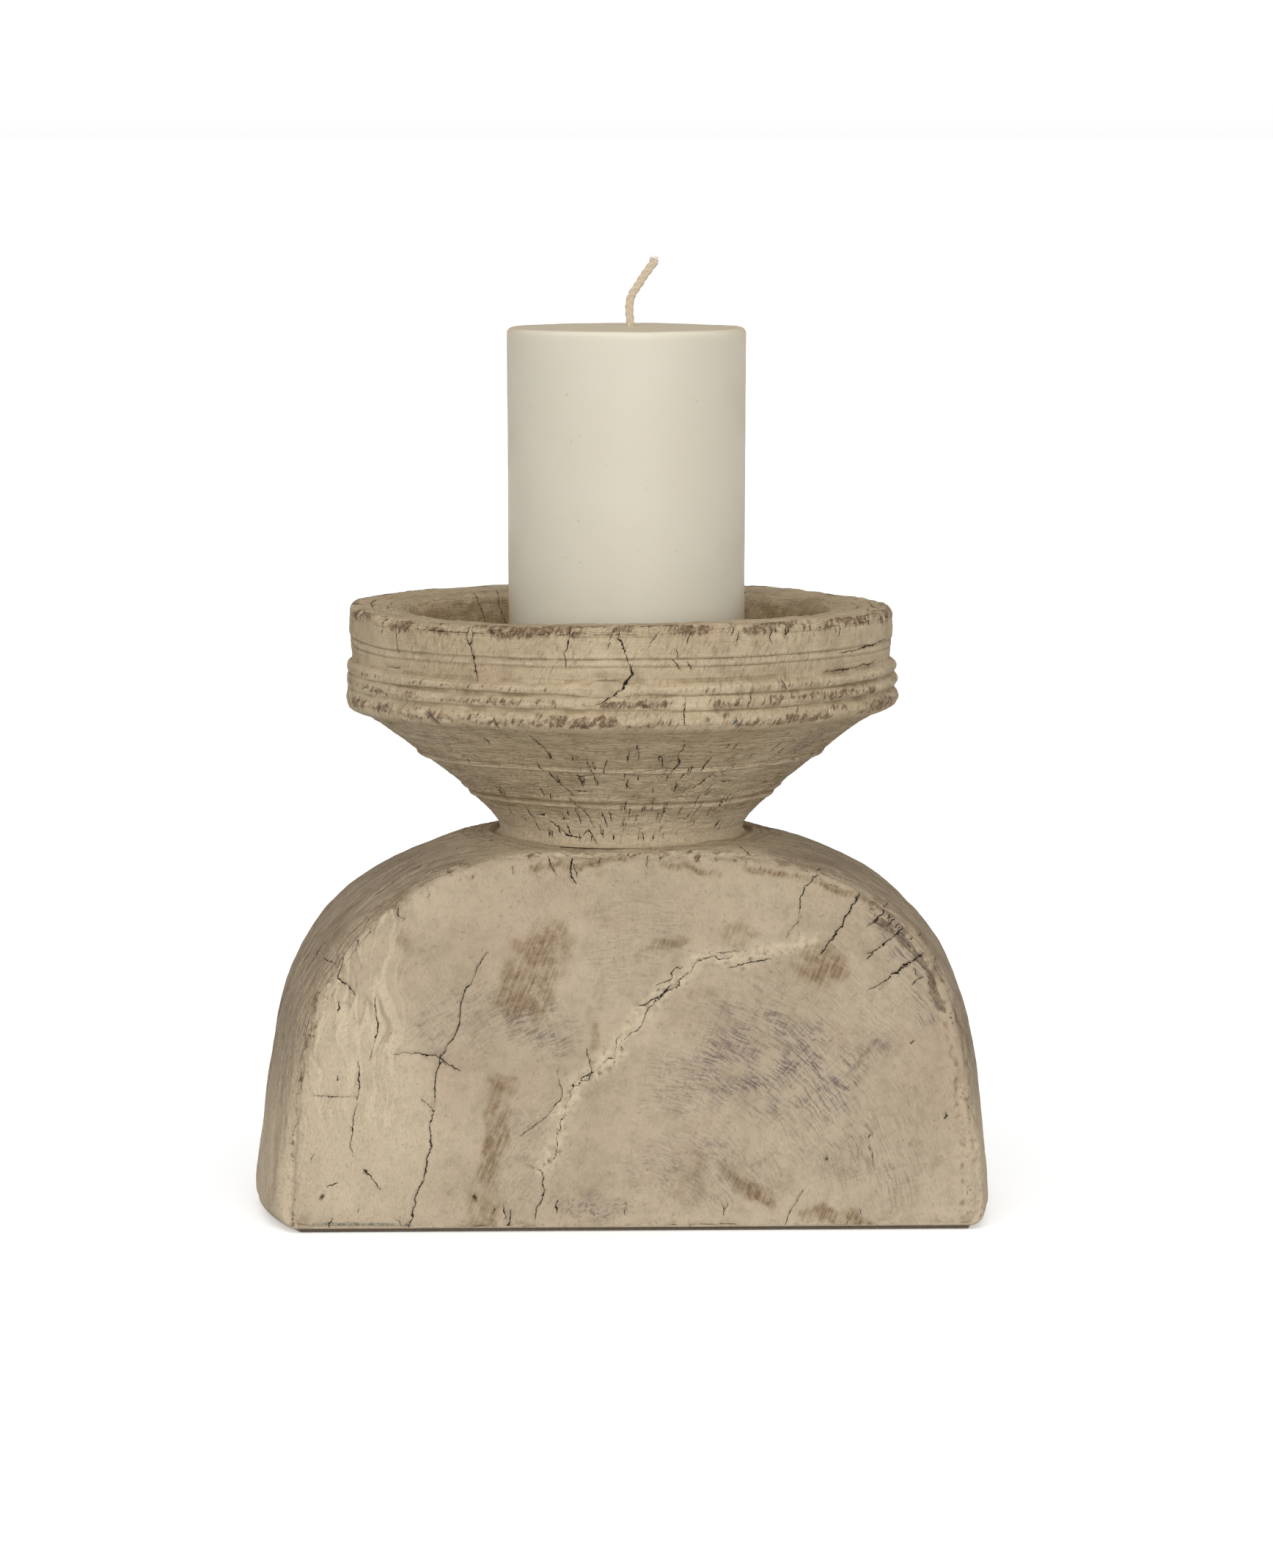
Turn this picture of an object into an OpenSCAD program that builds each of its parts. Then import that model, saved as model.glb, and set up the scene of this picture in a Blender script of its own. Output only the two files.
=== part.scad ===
// A pillar candle holder of old, limewashed wood: a turned bowl on an arch-shaped block.
// Millimetres, +Z up. The origin is the centre of the underside, on the table.
// X runs along the width of the block, and Y through its depth, with the front at -Y.

/* [Block] */
// Width of the block at its widest section
block_w = 236; // [220:1:250]
// Depth of the block from face to face
block_d = 100; // [92:1:110]
// Height of the crown of the block above the table
block_h = 123.4; // [122.5:0.1:126]
// Narrowing of each face against the widest section, as a share
face_narrowing = 0.06; // [0.02:0.005:0.12]
// How far the faces sit to the right of the widest section
face_shift = 3; // [0:0.5:4]
// Lowering of the front face against the widest section, as a share
face_lowering = 0.022; // [0.005:0.001:0.03]
// Lowering of the back face, as a share
back_lowering = 0.032; // [0.005:0.001:0.032]
// Radius of the turned seat round the neck
seat_r = 42; // [41.5:0.1:46]

/* [Bowl] */
// Outer radius of the rim
rim_r = 86.4; // [82:0.1:90]
// Height of the rim above the table
rim_h = 193.5; // [190:0.1:200]
// Width of the flat top of the rim
rim_w = 18; // [14:0.5:20]
// Radius of the three beads at their crests
bead_r = 88.7; // [88:0.1:92]
// Radius of the neck just above the block
neck_r = 38.2; // [36:0.1:40]
// Radius of the flat floor that the plate lies on
floor_r = 42; // [40:0.1:44]
// Height of that floor above the table
floor_h = 155.1; // [152:0.1:160]

/* [Tenon] */
// Radius of the turned tenon under the neck
tenon_r = 20; // [14:0.5:26]
// Length of the tenon below the seat
tenon_l = 42; // [30:1:60]

/* [Pricket] */
// Radius of the iron plate
plate_r = 33; // [30:0.5:37]
// Thickness of the iron plate
plate_t = 1.6; // [1.6:0.1:1.8]
// Radius of the spike
spike_r = 2.6; // [2.4:0.1:3]
// Height of the spike above the plate
spike_l = 28; // [20:1:34]
// Radius of the circle that the three screws are on
screw_circle_r = 23; // [18:0.5:26]

/* [Candle] */
// Radius of the candle at its shoulder
candle_r = 38.1; // [36:0.1:38.4]
// Radius of the candle at its foot
candle_foot_r = 37.6; // [35.5:0.1:37.8]
// Height of the candle at its middle
candle_l = 126; // [100:1:150]
// How far the candle stands right of the bowl's axis
candle_dx = 1.8; // [0:0.1:2]
// Radius of the braided wick
wick_r = 1.4; // [1:0.1:1.6]
// Height over the wax where the wick starts to bend
wick_rise = 6.5; // [4:0.5:10]
// Lean of the wick's end to the right, in degrees
wick_lean = 34; // [10:1:60]
// Length of the wick's straight end
wick_tip = 11.5; // [6:0.5:16]

/* [Hidden] */
$fn = 96;
eps = 0.01;

felt_t = 1;                        // thickness of the felt
felt_inset = 2;                    // how far the felt stays inside the block's edge
seat_h = block_h - 3;              // floor of the turned seat
mortise_gap = 0.1;                 // glue line round the tenon
plate_top = floor_h + plate_t;     // what the candle stands on
screw_l = 15;                      // length of a screw
screw_r = 1.6;                     // radius of its shank
screw_head_r = 3.2;                // radius of its countersunk head
rivet_r = 2;                       // radius of the spike's tail in the plate
rivet_head_r = 3.6;                // radius of the tail's flattened end
rivet_head_t = 0.9;                // thickness of that end
fit_gap = 0.08;                    // clearance round the spike, the screws and the wick
point_l = 9;                       // length of the spike's point
shoulder_drop = 1.4;               // how far the candle's edge lies under its middle
wick_in = 88;                      // length of wick inside the wax
wick_dx = 1.2;                     // how far the wick stands right of the candle's axis

// Points of a circular arc about (cx, cy), from angle a to angle b.
function arc(cx, cy, r, a, b, n = 8) =
    [for (i = [0:n]) let(t = a + (b - a) * i / n) [cx + r * cos(t), cy + r * sin(t)]];

// Right half of the arch at the widest section, from the crown down to the foot: a flat crown, a
// shallow arc, a tight shoulder and an almost upright flank, which meet in common tangents, and
// a small round at the foot. Each slope is in degrees.
crown_half = block_w / 2 - 90;     // half-width of the flat crown
crown_arc = 104;                   // radius from the crown to the shoulder
shoulder_slope = 19.4;             // slope where the shoulder starts
shoulder_arc = 74;                 // radius of the shoulder
flank_slope = 80;                  // slope where the flank starts
flank_arc = 490;                   // radius of the flank
foot_slope = 86.2;                 // slope where the flank ends
foot_round = 4;                    // radius at the foot

// Points along an arc of radius r that starts at a point and bends from slope a to slope b.
function bend(start, r, a, b, n) = [for (i = [0:n]) let(t = a + (b - a) * i / n)
    start + r * [sin(t) - sin(a), cos(t) - cos(a)]];
function last(list) = list[len(list) - 1];

crown_line = bend([crown_half, block_h], crown_arc, 0, shoulder_slope, 6);
shoulder_line = bend(last(crown_line), shoulder_arc, shoulder_slope, flank_slope, 14);
flank_line = bend(last(shoulder_line), flank_arc, flank_slope, foot_slope, 6);
foot_line = arc(block_w / 2 - foot_round, felt_t + foot_round, foot_round, 0, -90, 5);
half_arch = concat(crown_line, shoulder_line, flank_line, foot_line);

// A thin slice of the block at share t of its half depth. The arch shrinks towards the faces.
module arch_slice(t) {
    slice_t = 0.2;
    wide = 1 - face_narrowing * t * t;
    tall = 1 - (t < 0 ? face_lowering : back_lowering) * t * t;
    right = [for (p = half_arch) [p[0] * wide, (p[1] - felt_t) * tall]];
    left = [for (i = [len(right) - 1:-1:0]) [-right[i][0], right[i][1]]];
    translate([face_shift * t * t, t * (block_d - slice_t) / 2 + slice_t / 2, felt_t])
        rotate([90, 0, 0])
        linear_extrude(slice_t) polygon(concat(right, left));
}

module base_block() {
    color("tan") difference() {
        hull() for (t = [-1, -0.75, -0.4, 0, 0.4, 0.75, 1]) arch_slice(t);
        translate([0, 0, seat_h]) cylinder(r = seat_r, h = 10);
        translate([0, 0, seat_h - tenon_l - 1]) cylinder(r = tenon_r + mortise_gap, h = 60);
    }
}

// Felt of the underside's own barrel outline, a little smaller all round.
module base_felt() {
    n = 12;
    half_d = block_d / 2 - felt_inset;
    function half_w(t) = block_w / 2 * (1 - face_narrowing * t * t) - felt_inset;
    function edge(side) = [for (i = [-n:n]) let(t = i / n)
        [side * half_w(t) + face_shift * t * t, half_d * t]];
    left = edge(-1);
    color("darkslategray") linear_extrude(felt_t)
        polygon(concat(edge(1), [for (i = [2 * n:-1:0]) left[i]]));
}

// One bead of the band: a low round bump from z = low to z = high that reaches bead_r.
function bead(low, high, root_r, n = 8) = [for (i = [0:n])
    [root_r + (bead_r - root_r) * sin(180 * i / n), low + (high - low) * i / n]];

// One scratched line: a small v in a wall of radius r, at height z.
function scratch(r, z, deep = 0.4, half = 0.4) = [[r, z - half], [r - deep, z], [r, z + half]];

// Outside of the bowl, upwards from the seat: neck, cone with three stepped ridges, band of
// three beads, and the rim's wall with three scratched lines.
function bowl_outside() = concat(
    [[neck_r + 2.4, seat_h], [neck_r + 1, seat_h + 1], [neck_r, seat_h + 2.9]],
    [[41.6, 127.5], [44.8, 131], [45.9, 132.3], [47, 134.2], [48.4, 134.8], [50.8, 136.2]],
    [[53.4, 138.3], [58.2, 142.4], [62.3, 146], [64.2, 147.3]],
    [[69.5, 150.9], [75.3, 155.1], [80.8, 159.3], [85.4, 161.7]],
    bead(162.2, 167.8, rim_r + 0.6),
    bead(168, 172.6, rim_r + 0.4),
    bead(172.8, 176.6, rim_r + 0.2),
    [[rim_r - 1, 177.2]],
    scratch(rim_r - 0.9, 182.2), scratch(rim_r - 0.8, 183.7), scratch(rim_r - 0.7, 185.2),
    arc(rim_r - 2.6, rim_h - 2.6, 2.6, 0, 90));

// Inside of the bowl, downwards from the rim to the floor.
function bowl_inside() =
    let(lip = 4, lip_x = rim_r - rim_w)
    concat(
        arc(lip_x + lip * 0.6, rim_h - lip, lip, 90, 145, 6),
        [[62.5, 184], [54.5, 173], [48, 163.5], [floor_r, floor_h]]);

module screw_places() {
    for (i = [0:2]) rotate([0, 0, 90 + 120 * i]) translate([screw_circle_r, 0, 0]) children();
}

module bowl() {
    color("burlywood") difference() {
        union() {
            rotate_extrude() polygon(concat(
                bowl_outside(), bowl_inside(), [[0, floor_h], [0, seat_h]]));
            translate([0, 0, seat_h - tenon_l]) cylinder(r = tenon_r, h = tenon_l + 1);
        }
        translate([candle_dx, 0, floor_h - rivet_head_t - fit_gap])
            cylinder(r = rivet_head_r + fit_gap, h = 5);
        translate([candle_dx, 0, plate_top - screw_l - 0.5]) screw_places()
            cylinder(r = screw_r + fit_gap, h = screw_l);
    }
}

// Everything of the pricket is centred under the candle.
module pricket_plate() {
    color("dimgray") translate([candle_dx, 0, floor_h]) difference() {
        rotate_extrude() polygon([[rivet_r + fit_gap / 2, 0], [plate_r, 0],
                                  [plate_r, plate_t - 0.4], [plate_r - 0.4, plate_t],
                                  [rivet_r + fit_gap / 2, plate_t]]);
        screw_places() {
            translate([0, 0, -eps]) cylinder(r = screw_r + fit_gap, h = plate_t + 1);
            cylinder(r1 = screw_r + fit_gap, r2 = screw_head_r + fit_gap, h = plate_t + eps);
        }
    }
}

module pricket_spike() {
    color("gray") translate([candle_dx, 0, plate_top]) rotate_extrude() polygon([
        [0, -plate_t - rivet_head_t], [rivet_head_r, -plate_t - rivet_head_t],
        [rivet_head_r, -plate_t], [rivet_r, -plate_t], [rivet_r, 0], [spike_r, 0],
        [spike_r, spike_l - point_l], [0.4, spike_l], [0, spike_l]]);
}

module plate_screws() {
    color("silver") translate([candle_dx, 0, plate_top]) screw_places() difference() {
        rotate_extrude() polygon([
            [0, -screw_l], [screw_r, -screw_l + 3], [screw_r, -plate_t],
            [screw_head_r, -0.05], [0, -0.05]]);
        translate([-screw_head_r, -0.3, -0.8]) cube([2 * screw_head_r, 0.6, 1]);
    }
}

module candle_wax() {
    color("ivory") translate([candle_dx, 0, plate_top]) difference() {
        rotate_extrude() polygon(concat(
            [[0, 0], [candle_foot_r - 0.8, 0], [candle_foot_r, 0.8]],
            [[candle_r, candle_l - shoulder_drop - 0.5]],
            [for (i = [0:6]) let(a = 15 * i)
                [candle_r - 9 + 9 * cos(a), candle_l - shoulder_drop + shoulder_drop * sin(a)]],
            [[0, candle_l]]));
        translate([0, 0, -eps]) cylinder(r = spike_r + fit_gap, h = spike_l - point_l + eps);
        translate([0, 0, spike_l - point_l - eps])
            cylinder(r1 = spike_r + fit_gap, r2 = 0.5, h = point_l + 0.4);
        translate([wick_dx, 0, candle_l - wick_in])
            cylinder(r = wick_r + fit_gap, h = wick_in + 1);
    }
}

// The wick stands upright, then bends over to the right and ends in a straight length. Each
// station is [x, height over the wax, lean].
wick_bend_r = 8;
wick_sides = 16;
wick_stations = concat(
    [[0, -wick_in, 0]],
    [for (i = [0:5]) let(t = wick_lean * i / 5)
        [wick_bend_r * (1 - cos(t)), wick_rise + wick_bend_r * sin(t), t]]);
wick_end = last(wick_stations)
    + [wick_tip * sin(wick_lean), wick_tip * cos(wick_lean), 0];

function ring(at) = [for (i = [0:wick_sides - 1]) let(u = 360 * i / wick_sides)
    [at[0] + wick_r * cos(u) * cos(at[2]), wick_r * sin(u), at[1] - wick_r * cos(u) * sin(at[2])]];

module wick() {
    stations = concat(wick_stations, [wick_end]);
    n = wick_sides;
    top = n * (len(stations) - 1);
    color("wheat") translate([candle_dx + wick_dx, 0, plate_top + candle_l]) polyhedron(
        points = [for (at = stations) each ring(at)],
        faces = concat(
            [[for (i = [0:n - 1]) i]],
            [for (s = [0:len(stations) - 2], i = [0:n - 1]) let(j = (i + 1) % n)
                [s * n + i, s * n + n + i, s * n + n + j, s * n + j]],
            [[for (i = [n - 1:-1:0]) top + i]]));
}

base_felt();
base_block();
bowl();
pricket_plate();
pricket_spike();
plate_screws();
candle_wax();
wick();
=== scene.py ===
"""The looks of a limewashed wooden candlestick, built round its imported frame.

Lengths are millimetres until a mesh is made. Z is up and the front is at -Y. Both wooden pieces
are dense meshes: a plain form first, then everything that age and tools did to it, as moves along
its normals. The same fields are kept as masks, which the materials read.
"""
import math
from itertools import product

import bpy
import numpy as np
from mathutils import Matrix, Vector


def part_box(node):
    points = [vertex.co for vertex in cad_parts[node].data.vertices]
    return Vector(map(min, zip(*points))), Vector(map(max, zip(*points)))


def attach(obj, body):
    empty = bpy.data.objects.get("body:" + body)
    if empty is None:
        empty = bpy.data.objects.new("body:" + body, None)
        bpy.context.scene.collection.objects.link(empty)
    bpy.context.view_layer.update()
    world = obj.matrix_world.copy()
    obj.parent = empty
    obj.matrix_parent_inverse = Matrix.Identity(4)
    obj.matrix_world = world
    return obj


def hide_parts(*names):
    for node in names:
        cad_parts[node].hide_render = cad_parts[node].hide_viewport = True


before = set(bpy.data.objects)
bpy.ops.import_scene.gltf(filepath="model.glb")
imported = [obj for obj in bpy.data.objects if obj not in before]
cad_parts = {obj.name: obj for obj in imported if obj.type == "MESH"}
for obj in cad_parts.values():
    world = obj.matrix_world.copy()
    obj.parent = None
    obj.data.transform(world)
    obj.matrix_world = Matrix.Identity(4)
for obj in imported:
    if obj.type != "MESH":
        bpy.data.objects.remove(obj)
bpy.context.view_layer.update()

MM = 0.001


def corners(node):
    """Lowest and highest corner of a CAD node, in millimetres."""
    low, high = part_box(node)
    return np.array(low) / MM, np.array(high) / MM


BLOCK_LOW, BLOCK_HIGH = corners("base_block")
BOWL_LOW, BOWL_HIGH = corners("bowl")
CANDLE_LOW, CANDLE_HIGH = corners("candle_wax")
WICK_LOW, WICK_HIGH = corners("wick")
FELT_LOW, FELT_HIGH = corners("base_felt")
SPIKE_TOP = corners("pricket_spike")[1][2]
CANDLE_X = (CANDLE_LOW[0] + CANDLE_HIGH[0]) / 2


# ---------------------------------------------------------------- fields

class Noise:
    """Smooth gradient noise from about -1 to 1. Each seed has its own pattern."""

    cells = 32

    def __init__(self, seed):
        slopes = np.random.default_rng(seed).normal(size=(self.cells**3, 3))
        slopes /= np.linalg.norm(slopes, axis=1, keepdims=True)
        self.slopes = slopes.astype(np.float32)

    def __call__(self, places, size):
        """size is the size of a lump in millimetres: one number, or one for each axis."""
        p = places / np.asarray(size, float)
        cell = np.floor(p).astype(np.int32)
        part = (p - cell).astype(np.float32)
        ease = part**3 * (part * (part * 6 - 15) + 10)
        index = (cell % self.cells, (cell + 1) % self.cells)
        total = np.zeros(len(p), np.float32)
        for x, y, z in product((0, 1), repeat=3):
            at = (index[x][:, 0] * self.cells + index[y][:, 1]) * self.cells + index[z][:, 2]
            slope = self.slopes[at]
            weight = 1.7
            value = 0
            for axis, side in enumerate((x, y, z)):
                weight = weight * (ease[:, axis] if side else 1 - ease[:, axis])
                value = value + slope[:, axis] * (part[:, axis] - side)
            total += weight * value
        return total


def rough(seed, places, size, octaves=3, falloff=0.5):
    """Noise with finer and finer lumps added."""
    size = np.asarray(size, float)
    return sum(falloff**i * Noise(seed + i)(places, size / 2**i) for i in range(octaves))


def flat_places(chart):
    """A flat chart with a third coordinate of 0, as noise takes it."""
    return np.column_stack([chart, np.zeros(len(chart))])


def from_axis(points):
    """How far points are from the Z axis."""
    return np.hypot(points[:, 0], points[:, 1])


def ramp(value, low, high):
    """0 below low, 1 above high, and smooth between them. low may be above high."""
    t = np.clip((value - low) / (high - low), 0, 1)
    return t * t * (3 - 2 * t)


def stroke(chart, line, width):
    """A soft line drawn on a flat chart: 1 along its middle and 0 from width away."""
    line = np.asarray(line, float)
    drawn = np.zeros(len(chart))
    near = np.all((chart > line.min(0) - width) & (chart < line.max(0) + width), axis=1)
    p = chart[near]
    gap = np.full(len(p), width)
    for a, b in zip(line, line[1:]):
        t = np.clip((p - a) @ (b - a) / ((b - a) @ (b - a)), 0, 1)
        gap = np.minimum(gap, np.linalg.norm(p - a - t[:, None] * (b - a), axis=1))
    drawn[near] = ramp(gap, width, 0)
    return drawn


class Cracks:
    """Cracks drawn on a flat chart. offset is how far a place is from the nearest crack, in
    half-widths, with a sign for its side: it runs through 0 between two points of the mesh, so a
    material finds a crack that is thinner than the mesh. near is 1 where offset means anything."""

    far = 6.0
    reach = 1.6

    def __init__(self, count):
        self.offset = np.full(count, self.far)
        self.near = np.zeros(count)
        self.depth = np.zeros(count)

    def draw(self, chart, line, width, depth):
        """Adds one crack. It is widest in the middle and fades beyond its ends."""
        line = np.asarray(line, float)
        low, high = line.min(0) - self.reach, line.max(0) + self.reach
        chosen = np.flatnonzero(np.all((chart > low) & (chart < high), axis=1))
        p = chart[chosen]
        runs = np.linalg.norm(np.diff(line, axis=0), axis=1)
        gap = np.full(len(p), 99.0)
        aside = np.zeros(len(p))
        along = np.zeros(len(p))
        for a, b, run, start in zip(line, line[1:], runs, np.cumsum(runs) - runs):
            way = (b - a) / run
            t = np.clip((p - a) @ way, 0, run)
            reach = np.linalg.norm(p - a - t[:, None] * way, axis=1)
            closer = reach < gap
            gap[closer] = reach[closer]
            across = (p - a) @ np.array([-way[1], way[0]])
            aside[closer] = across[closer]
            along[closer] = (start + t[closer]) / runs.sum()
        half = width / 2 * (0.3 + 0.7 * np.sin(np.pi * along) ** 0.6)
        past_end = np.sqrt(np.maximum(gap**2 - aside**2, 0))
        near = ramp(gap, 1.5, 1.0) * ramp(past_end, 0.7, 0.1)
        offset = np.clip(aside / half, -self.far, self.far)
        better = (np.abs(offset) < np.abs(self.offset[chosen])) & (near > 0)
        chosen, offset, near, half = (v[better] for v in (chosen, offset, near, half))
        self.offset[chosen] = offset
        self.near[chosen] = np.maximum(self.near[chosen], near)
        groove = 0.6 * np.clip(1.25 - np.abs(offset) * half / (half + 0.3), 0, 1)
        self.depth[chosen] = np.maximum(self.depth[chosen], depth * groove * near)


def blot(chart, centre, radii, turn=0.0):
    """A soft patch, 1 in the middle and 0 outside. turn is in degrees."""
    d = chart - np.asarray(centre, float)
    c, s = math.cos(math.radians(turn)), math.sin(math.radians(turn))
    across = (d[:, 0] * c + d[:, 1] * s) / radii[0]
    up = (d[:, 1] * c - d[:, 0] * s) / radii[1]
    return ramp(across**2 + up**2, 1.6, 0.2)


def warp(chart, seed, amounts):
    """The chart with its places pushed about, so that straight lines drawn on it come out
    jagged. amounts is a list of (lump size, distance)."""
    flat = flat_places(chart)
    out = chart.copy()
    for i, (size, distance) in enumerate(amounts):
        for axis in (0, 1):
            out[:, axis] += distance * Noise(seed + 10 * i + axis)(flat, size)
    return out


# ---------------------------------------------------------------- meshes

def normals_of(points, quads):
    """Unit normal at each point."""
    a, b, c, d = (points[quads[:, i]] for i in range(4))
    face = np.cross(c - a, d - b)
    out = np.zeros_like(points)
    for axis in range(3):
        weights = np.repeat(face[:, axis], 4)
        out[:, axis] = np.bincount(quads.ravel(), weights, minlength=len(points))
    return out / np.maximum(np.linalg.norm(out, axis=1, keepdims=True), 1e-9)


def make_piece(name, points, polygons, charts=None, masks=None):
    """An object from points in millimetres and a list of arrays of equal-sided polygons.
    charts is a UV map's name and its coordinates at every polygon corner."""
    mesh = bpy.data.meshes.new(name)
    mesh.vertices.add(len(points))
    mesh.vertices.foreach_set("co", (points * MM).ravel())
    corner_list = np.concatenate([p.ravel() for p in polygons])
    sides = np.concatenate([np.full(len(p), p.shape[1]) for p in polygons])
    mesh.loops.add(len(corner_list))
    mesh.loops.foreach_set("vertex_index", corner_list)
    mesh.polygons.add(len(sides))
    mesh.polygons.foreach_set("loop_start", np.cumsum(sides) - sides)
    mesh.update(calc_edges=True)
    mesh.shade_smooth()
    for key, uv in (charts or {}).items():
        layer = mesh.uv_layers.new(name=key)
        layer.data.foreach_set("uv", uv.ravel())
    for key, values in (masks or {}).items():
        mask = mesh.attributes.new(key, "FLOAT", "POINT")
        mask.data.foreach_set("value", values.astype(np.float32))
    piece = bpy.data.objects.new(name, mesh)
    bpy.context.scene.collection.objects.link(piece)
    return piece


def grid_quads(numbers):
    """Quads of a rectangle of point numbers. The front is where axis 0 crosses axis 1."""
    a, b, c, d = numbers[:-1, :-1], numbers[1:, :-1], numbers[1:, 1:], numbers[:-1, 1:]
    return np.stack([a, b, c, d], -1).reshape(-1, 4)


def degrees_round(points):
    """Degrees round the Z axis from the front, growing to the right."""
    return np.degrees(np.arctan2(points[:, 0], -points[:, 1]))


def fan(centre, ring):
    """Triangles from one point to the points of a closed ring."""
    return np.column_stack([np.full(len(ring), centre), ring, np.roll(ring, -1)])


def resample(line, step):
    """The same line with points about step apart."""
    line = np.asarray(line, float)
    run = np.concatenate([[0], np.cumsum(np.linalg.norm(np.diff(line, axis=0), axis=1))])
    at = np.linspace(0, run[-1], max(2, int(round(run[-1] / step)) + 1))
    return np.column_stack([np.interp(at, run, line[:, i]) for i in range(line.shape[1])])


def arc(centre, radius, start, stop, count=12):
    angles = np.radians(np.linspace(start, stop, count))
    return [(centre[0] + radius * math.cos(a), centre[1] + radius * math.sin(a)) for a in angles]


# ---------------------------------------------------------------- block: form

FACE_NARROWING = 0.06       # how much narrower the faces are than the middle of the block
FACE_SHIFT = 3.0            # how far they sit to the right of it
FACE_LOWERING = 0.022       # and how much lower the front is
BACK_LOWERING = 0.032       # and the back
CROWN_FALL = 3.2            # further fall of the crown behind the bowl, outside its seat
EDGE_ROUND = 3.4            # rounding between a face and the arch
CROWN_RISE = 0.9            # the crown's middle, under the neck, above the block's highest point
CROWN_ARC, SHOULDER_ARC, FLANK_ARC = 104, 74, 490   # radii of the arch from its flat crown down
SHOULDER_SLOPE, FLANK_SLOPE, FOOT_SLOPE = 19.4, 80, 86.2    # its slopes where these arcs end
FLAT_CROWN = 90             # how far the crown's flat ends before the block's widest place
FOOT_ROUND = 5.0            # rounding of the flanks' foot
FOOT_LIFT = 0.3             # share of the edge's rounding that lifts the underside
STEP = 0.25                 # step between the points of the arch's outline
TENON_LENGTH = 42.0         # the bowl's tenon, which the mortise fits
TENON_RADIUS = 20.0
SEAT_Z = BOWL_LOW[2] + TENON_LENGTH
SEAT_RADIUS = 41.8          # of the turned seat under the bowl's neck


def bend(start, radius, a, b, count):
    """Points of an arc that starts at a point and bends from slope a to slope b, in degrees."""
    t = np.radians(np.linspace(a, b, count))
    return start + radius * np.column_stack([np.sin(t) - np.sin(t[0]), np.cos(t) - np.cos(t[0])])


def arch_half():
    """Right half of the arch as (x, z), from the crown's middle down to the foot."""
    width, low, crown = BLOCK_HIGH[0], BLOCK_LOW[2], BLOCK_HIGH[2] + CROWN_RISE
    flat = np.column_stack([np.linspace(0, width - FLAT_CROWN, 30), np.full(30, crown)])
    shallow = bend(flat[-1], CROWN_ARC, 0, SHOULDER_SLOPE, 40)
    shoulder = bend(shallow[-1], SHOULDER_ARC, SHOULDER_SLOPE, FLANK_SLOPE, 120)
    flank = bend(shoulder[-1], FLANK_ARC, FLANK_SLOPE, FOOT_SLOPE, 60)
    flank = flank[flank[:, 1] > low + FOOT_ROUND + 0.3]
    foot = arc((flank[-1, 0] - FOOT_ROUND, low + FOOT_ROUND), FOOT_ROUND, 0, -90, 12)
    line = np.vstack([flat, shallow[1:], shoulder[1:], flank[1:], foot])
    return resample(line, STEP)


def split_arch(across, up):
    """The arch's crown side as across + 1 points and its right flank as up + 1 points, both
    with the outward normal: rows of x, z, normal x, normal z and length along the arch."""
    line = arch_half()
    way = np.gradient(line, axis=0)
    way /= np.linalg.norm(way, axis=1, keepdims=True)
    run = np.arange(len(line)) * STEP
    rows = np.column_stack([line, -way[:, 1], way[:, 0], run])
    cut = run[np.argmax(way[:, 1] < -math.sin(math.radians(50)))]
    at_crown = np.abs(np.linspace(-cut, cut, across + 1))
    at_flank = np.linspace(run[-1], cut, up + 1)
    crown = np.column_stack([np.interp(at_crown, run, rows[:, i]) for i in range(5)])
    flank = np.column_stack([np.interp(at_flank, run, rows[:, i]) for i in range(5)])
    crown[: across // 2, [0, 2, 4]] *= -1
    return crown, flank


def depth_rows(middle, rounds):
    """Places through the block's depth: y, how far the rounding pulls the outline in, and the
    length along the surface."""
    half = BLOCK_HIGH[1]
    straight = np.linspace(-(half - EDGE_ROUND), half - EDGE_ROUND, middle + 1)
    turn = np.radians(np.linspace(90, 0, rounds + 1))[:-1]
    y = half - EDGE_ROUND + EDGE_ROUND * np.sin(turn)
    pull = EDGE_ROUND * (1 - np.cos(turn))
    ys = np.concatenate([-y, straight, y[::-1]])
    pulls = np.concatenate([pull, np.zeros(middle + 1), pull[::-1]])
    steps = np.hypot(np.diff(ys), np.diff(pulls))
    return ys, pulls, np.concatenate([[0], np.cumsum(steps)]) - steps.sum() / 2


def narrowed(x, y):
    """Places across the block at its widest section, moved to where they are at depth y."""
    t = y / BLOCK_HIGH[1]
    return x * (1 - FACE_NARROWING * t * t) + FACE_SHIFT * t * t


def outline_row(rows, y, pull):
    """Points of one side at one depth, from rows of split_arch."""
    t = y / BLOCK_HIGH[1]
    x = narrowed(rows[:, 0], y) - rows[:, 2] * pull
    lowering = FACE_LOWERING if t < 0 else BACK_LOWERING
    z = BLOCK_LOW[2] + (rows[:, 1] - BLOCK_LOW[2]) * (1 - lowering * t * t)
    z -= np.maximum(rows[:, 3], -FOOT_LIFT) * pull
    return np.column_stack([x, np.full(len(x), y), z])


def span(edge):
    """Fills the lattice of a face from its four edges."""
    u = np.linspace(0, 1, edge.shape[0])[:, None, None]
    v = np.linspace(0, 1, edge.shape[1])[None, :, None]
    low, high, west, east = edge[:, :1], edge[:, -1:], edge[:1], edge[-1:]
    tied = ((1 - u) * (1 - v) * edge[0, 0] + u * (1 - v) * edge[-1, 0]
            + (1 - u) * v * edge[0, -1] + u * v * edge[-1, -1])
    return (1 - v) * low + v * high + (1 - u) * west + u * east - tied


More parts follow.
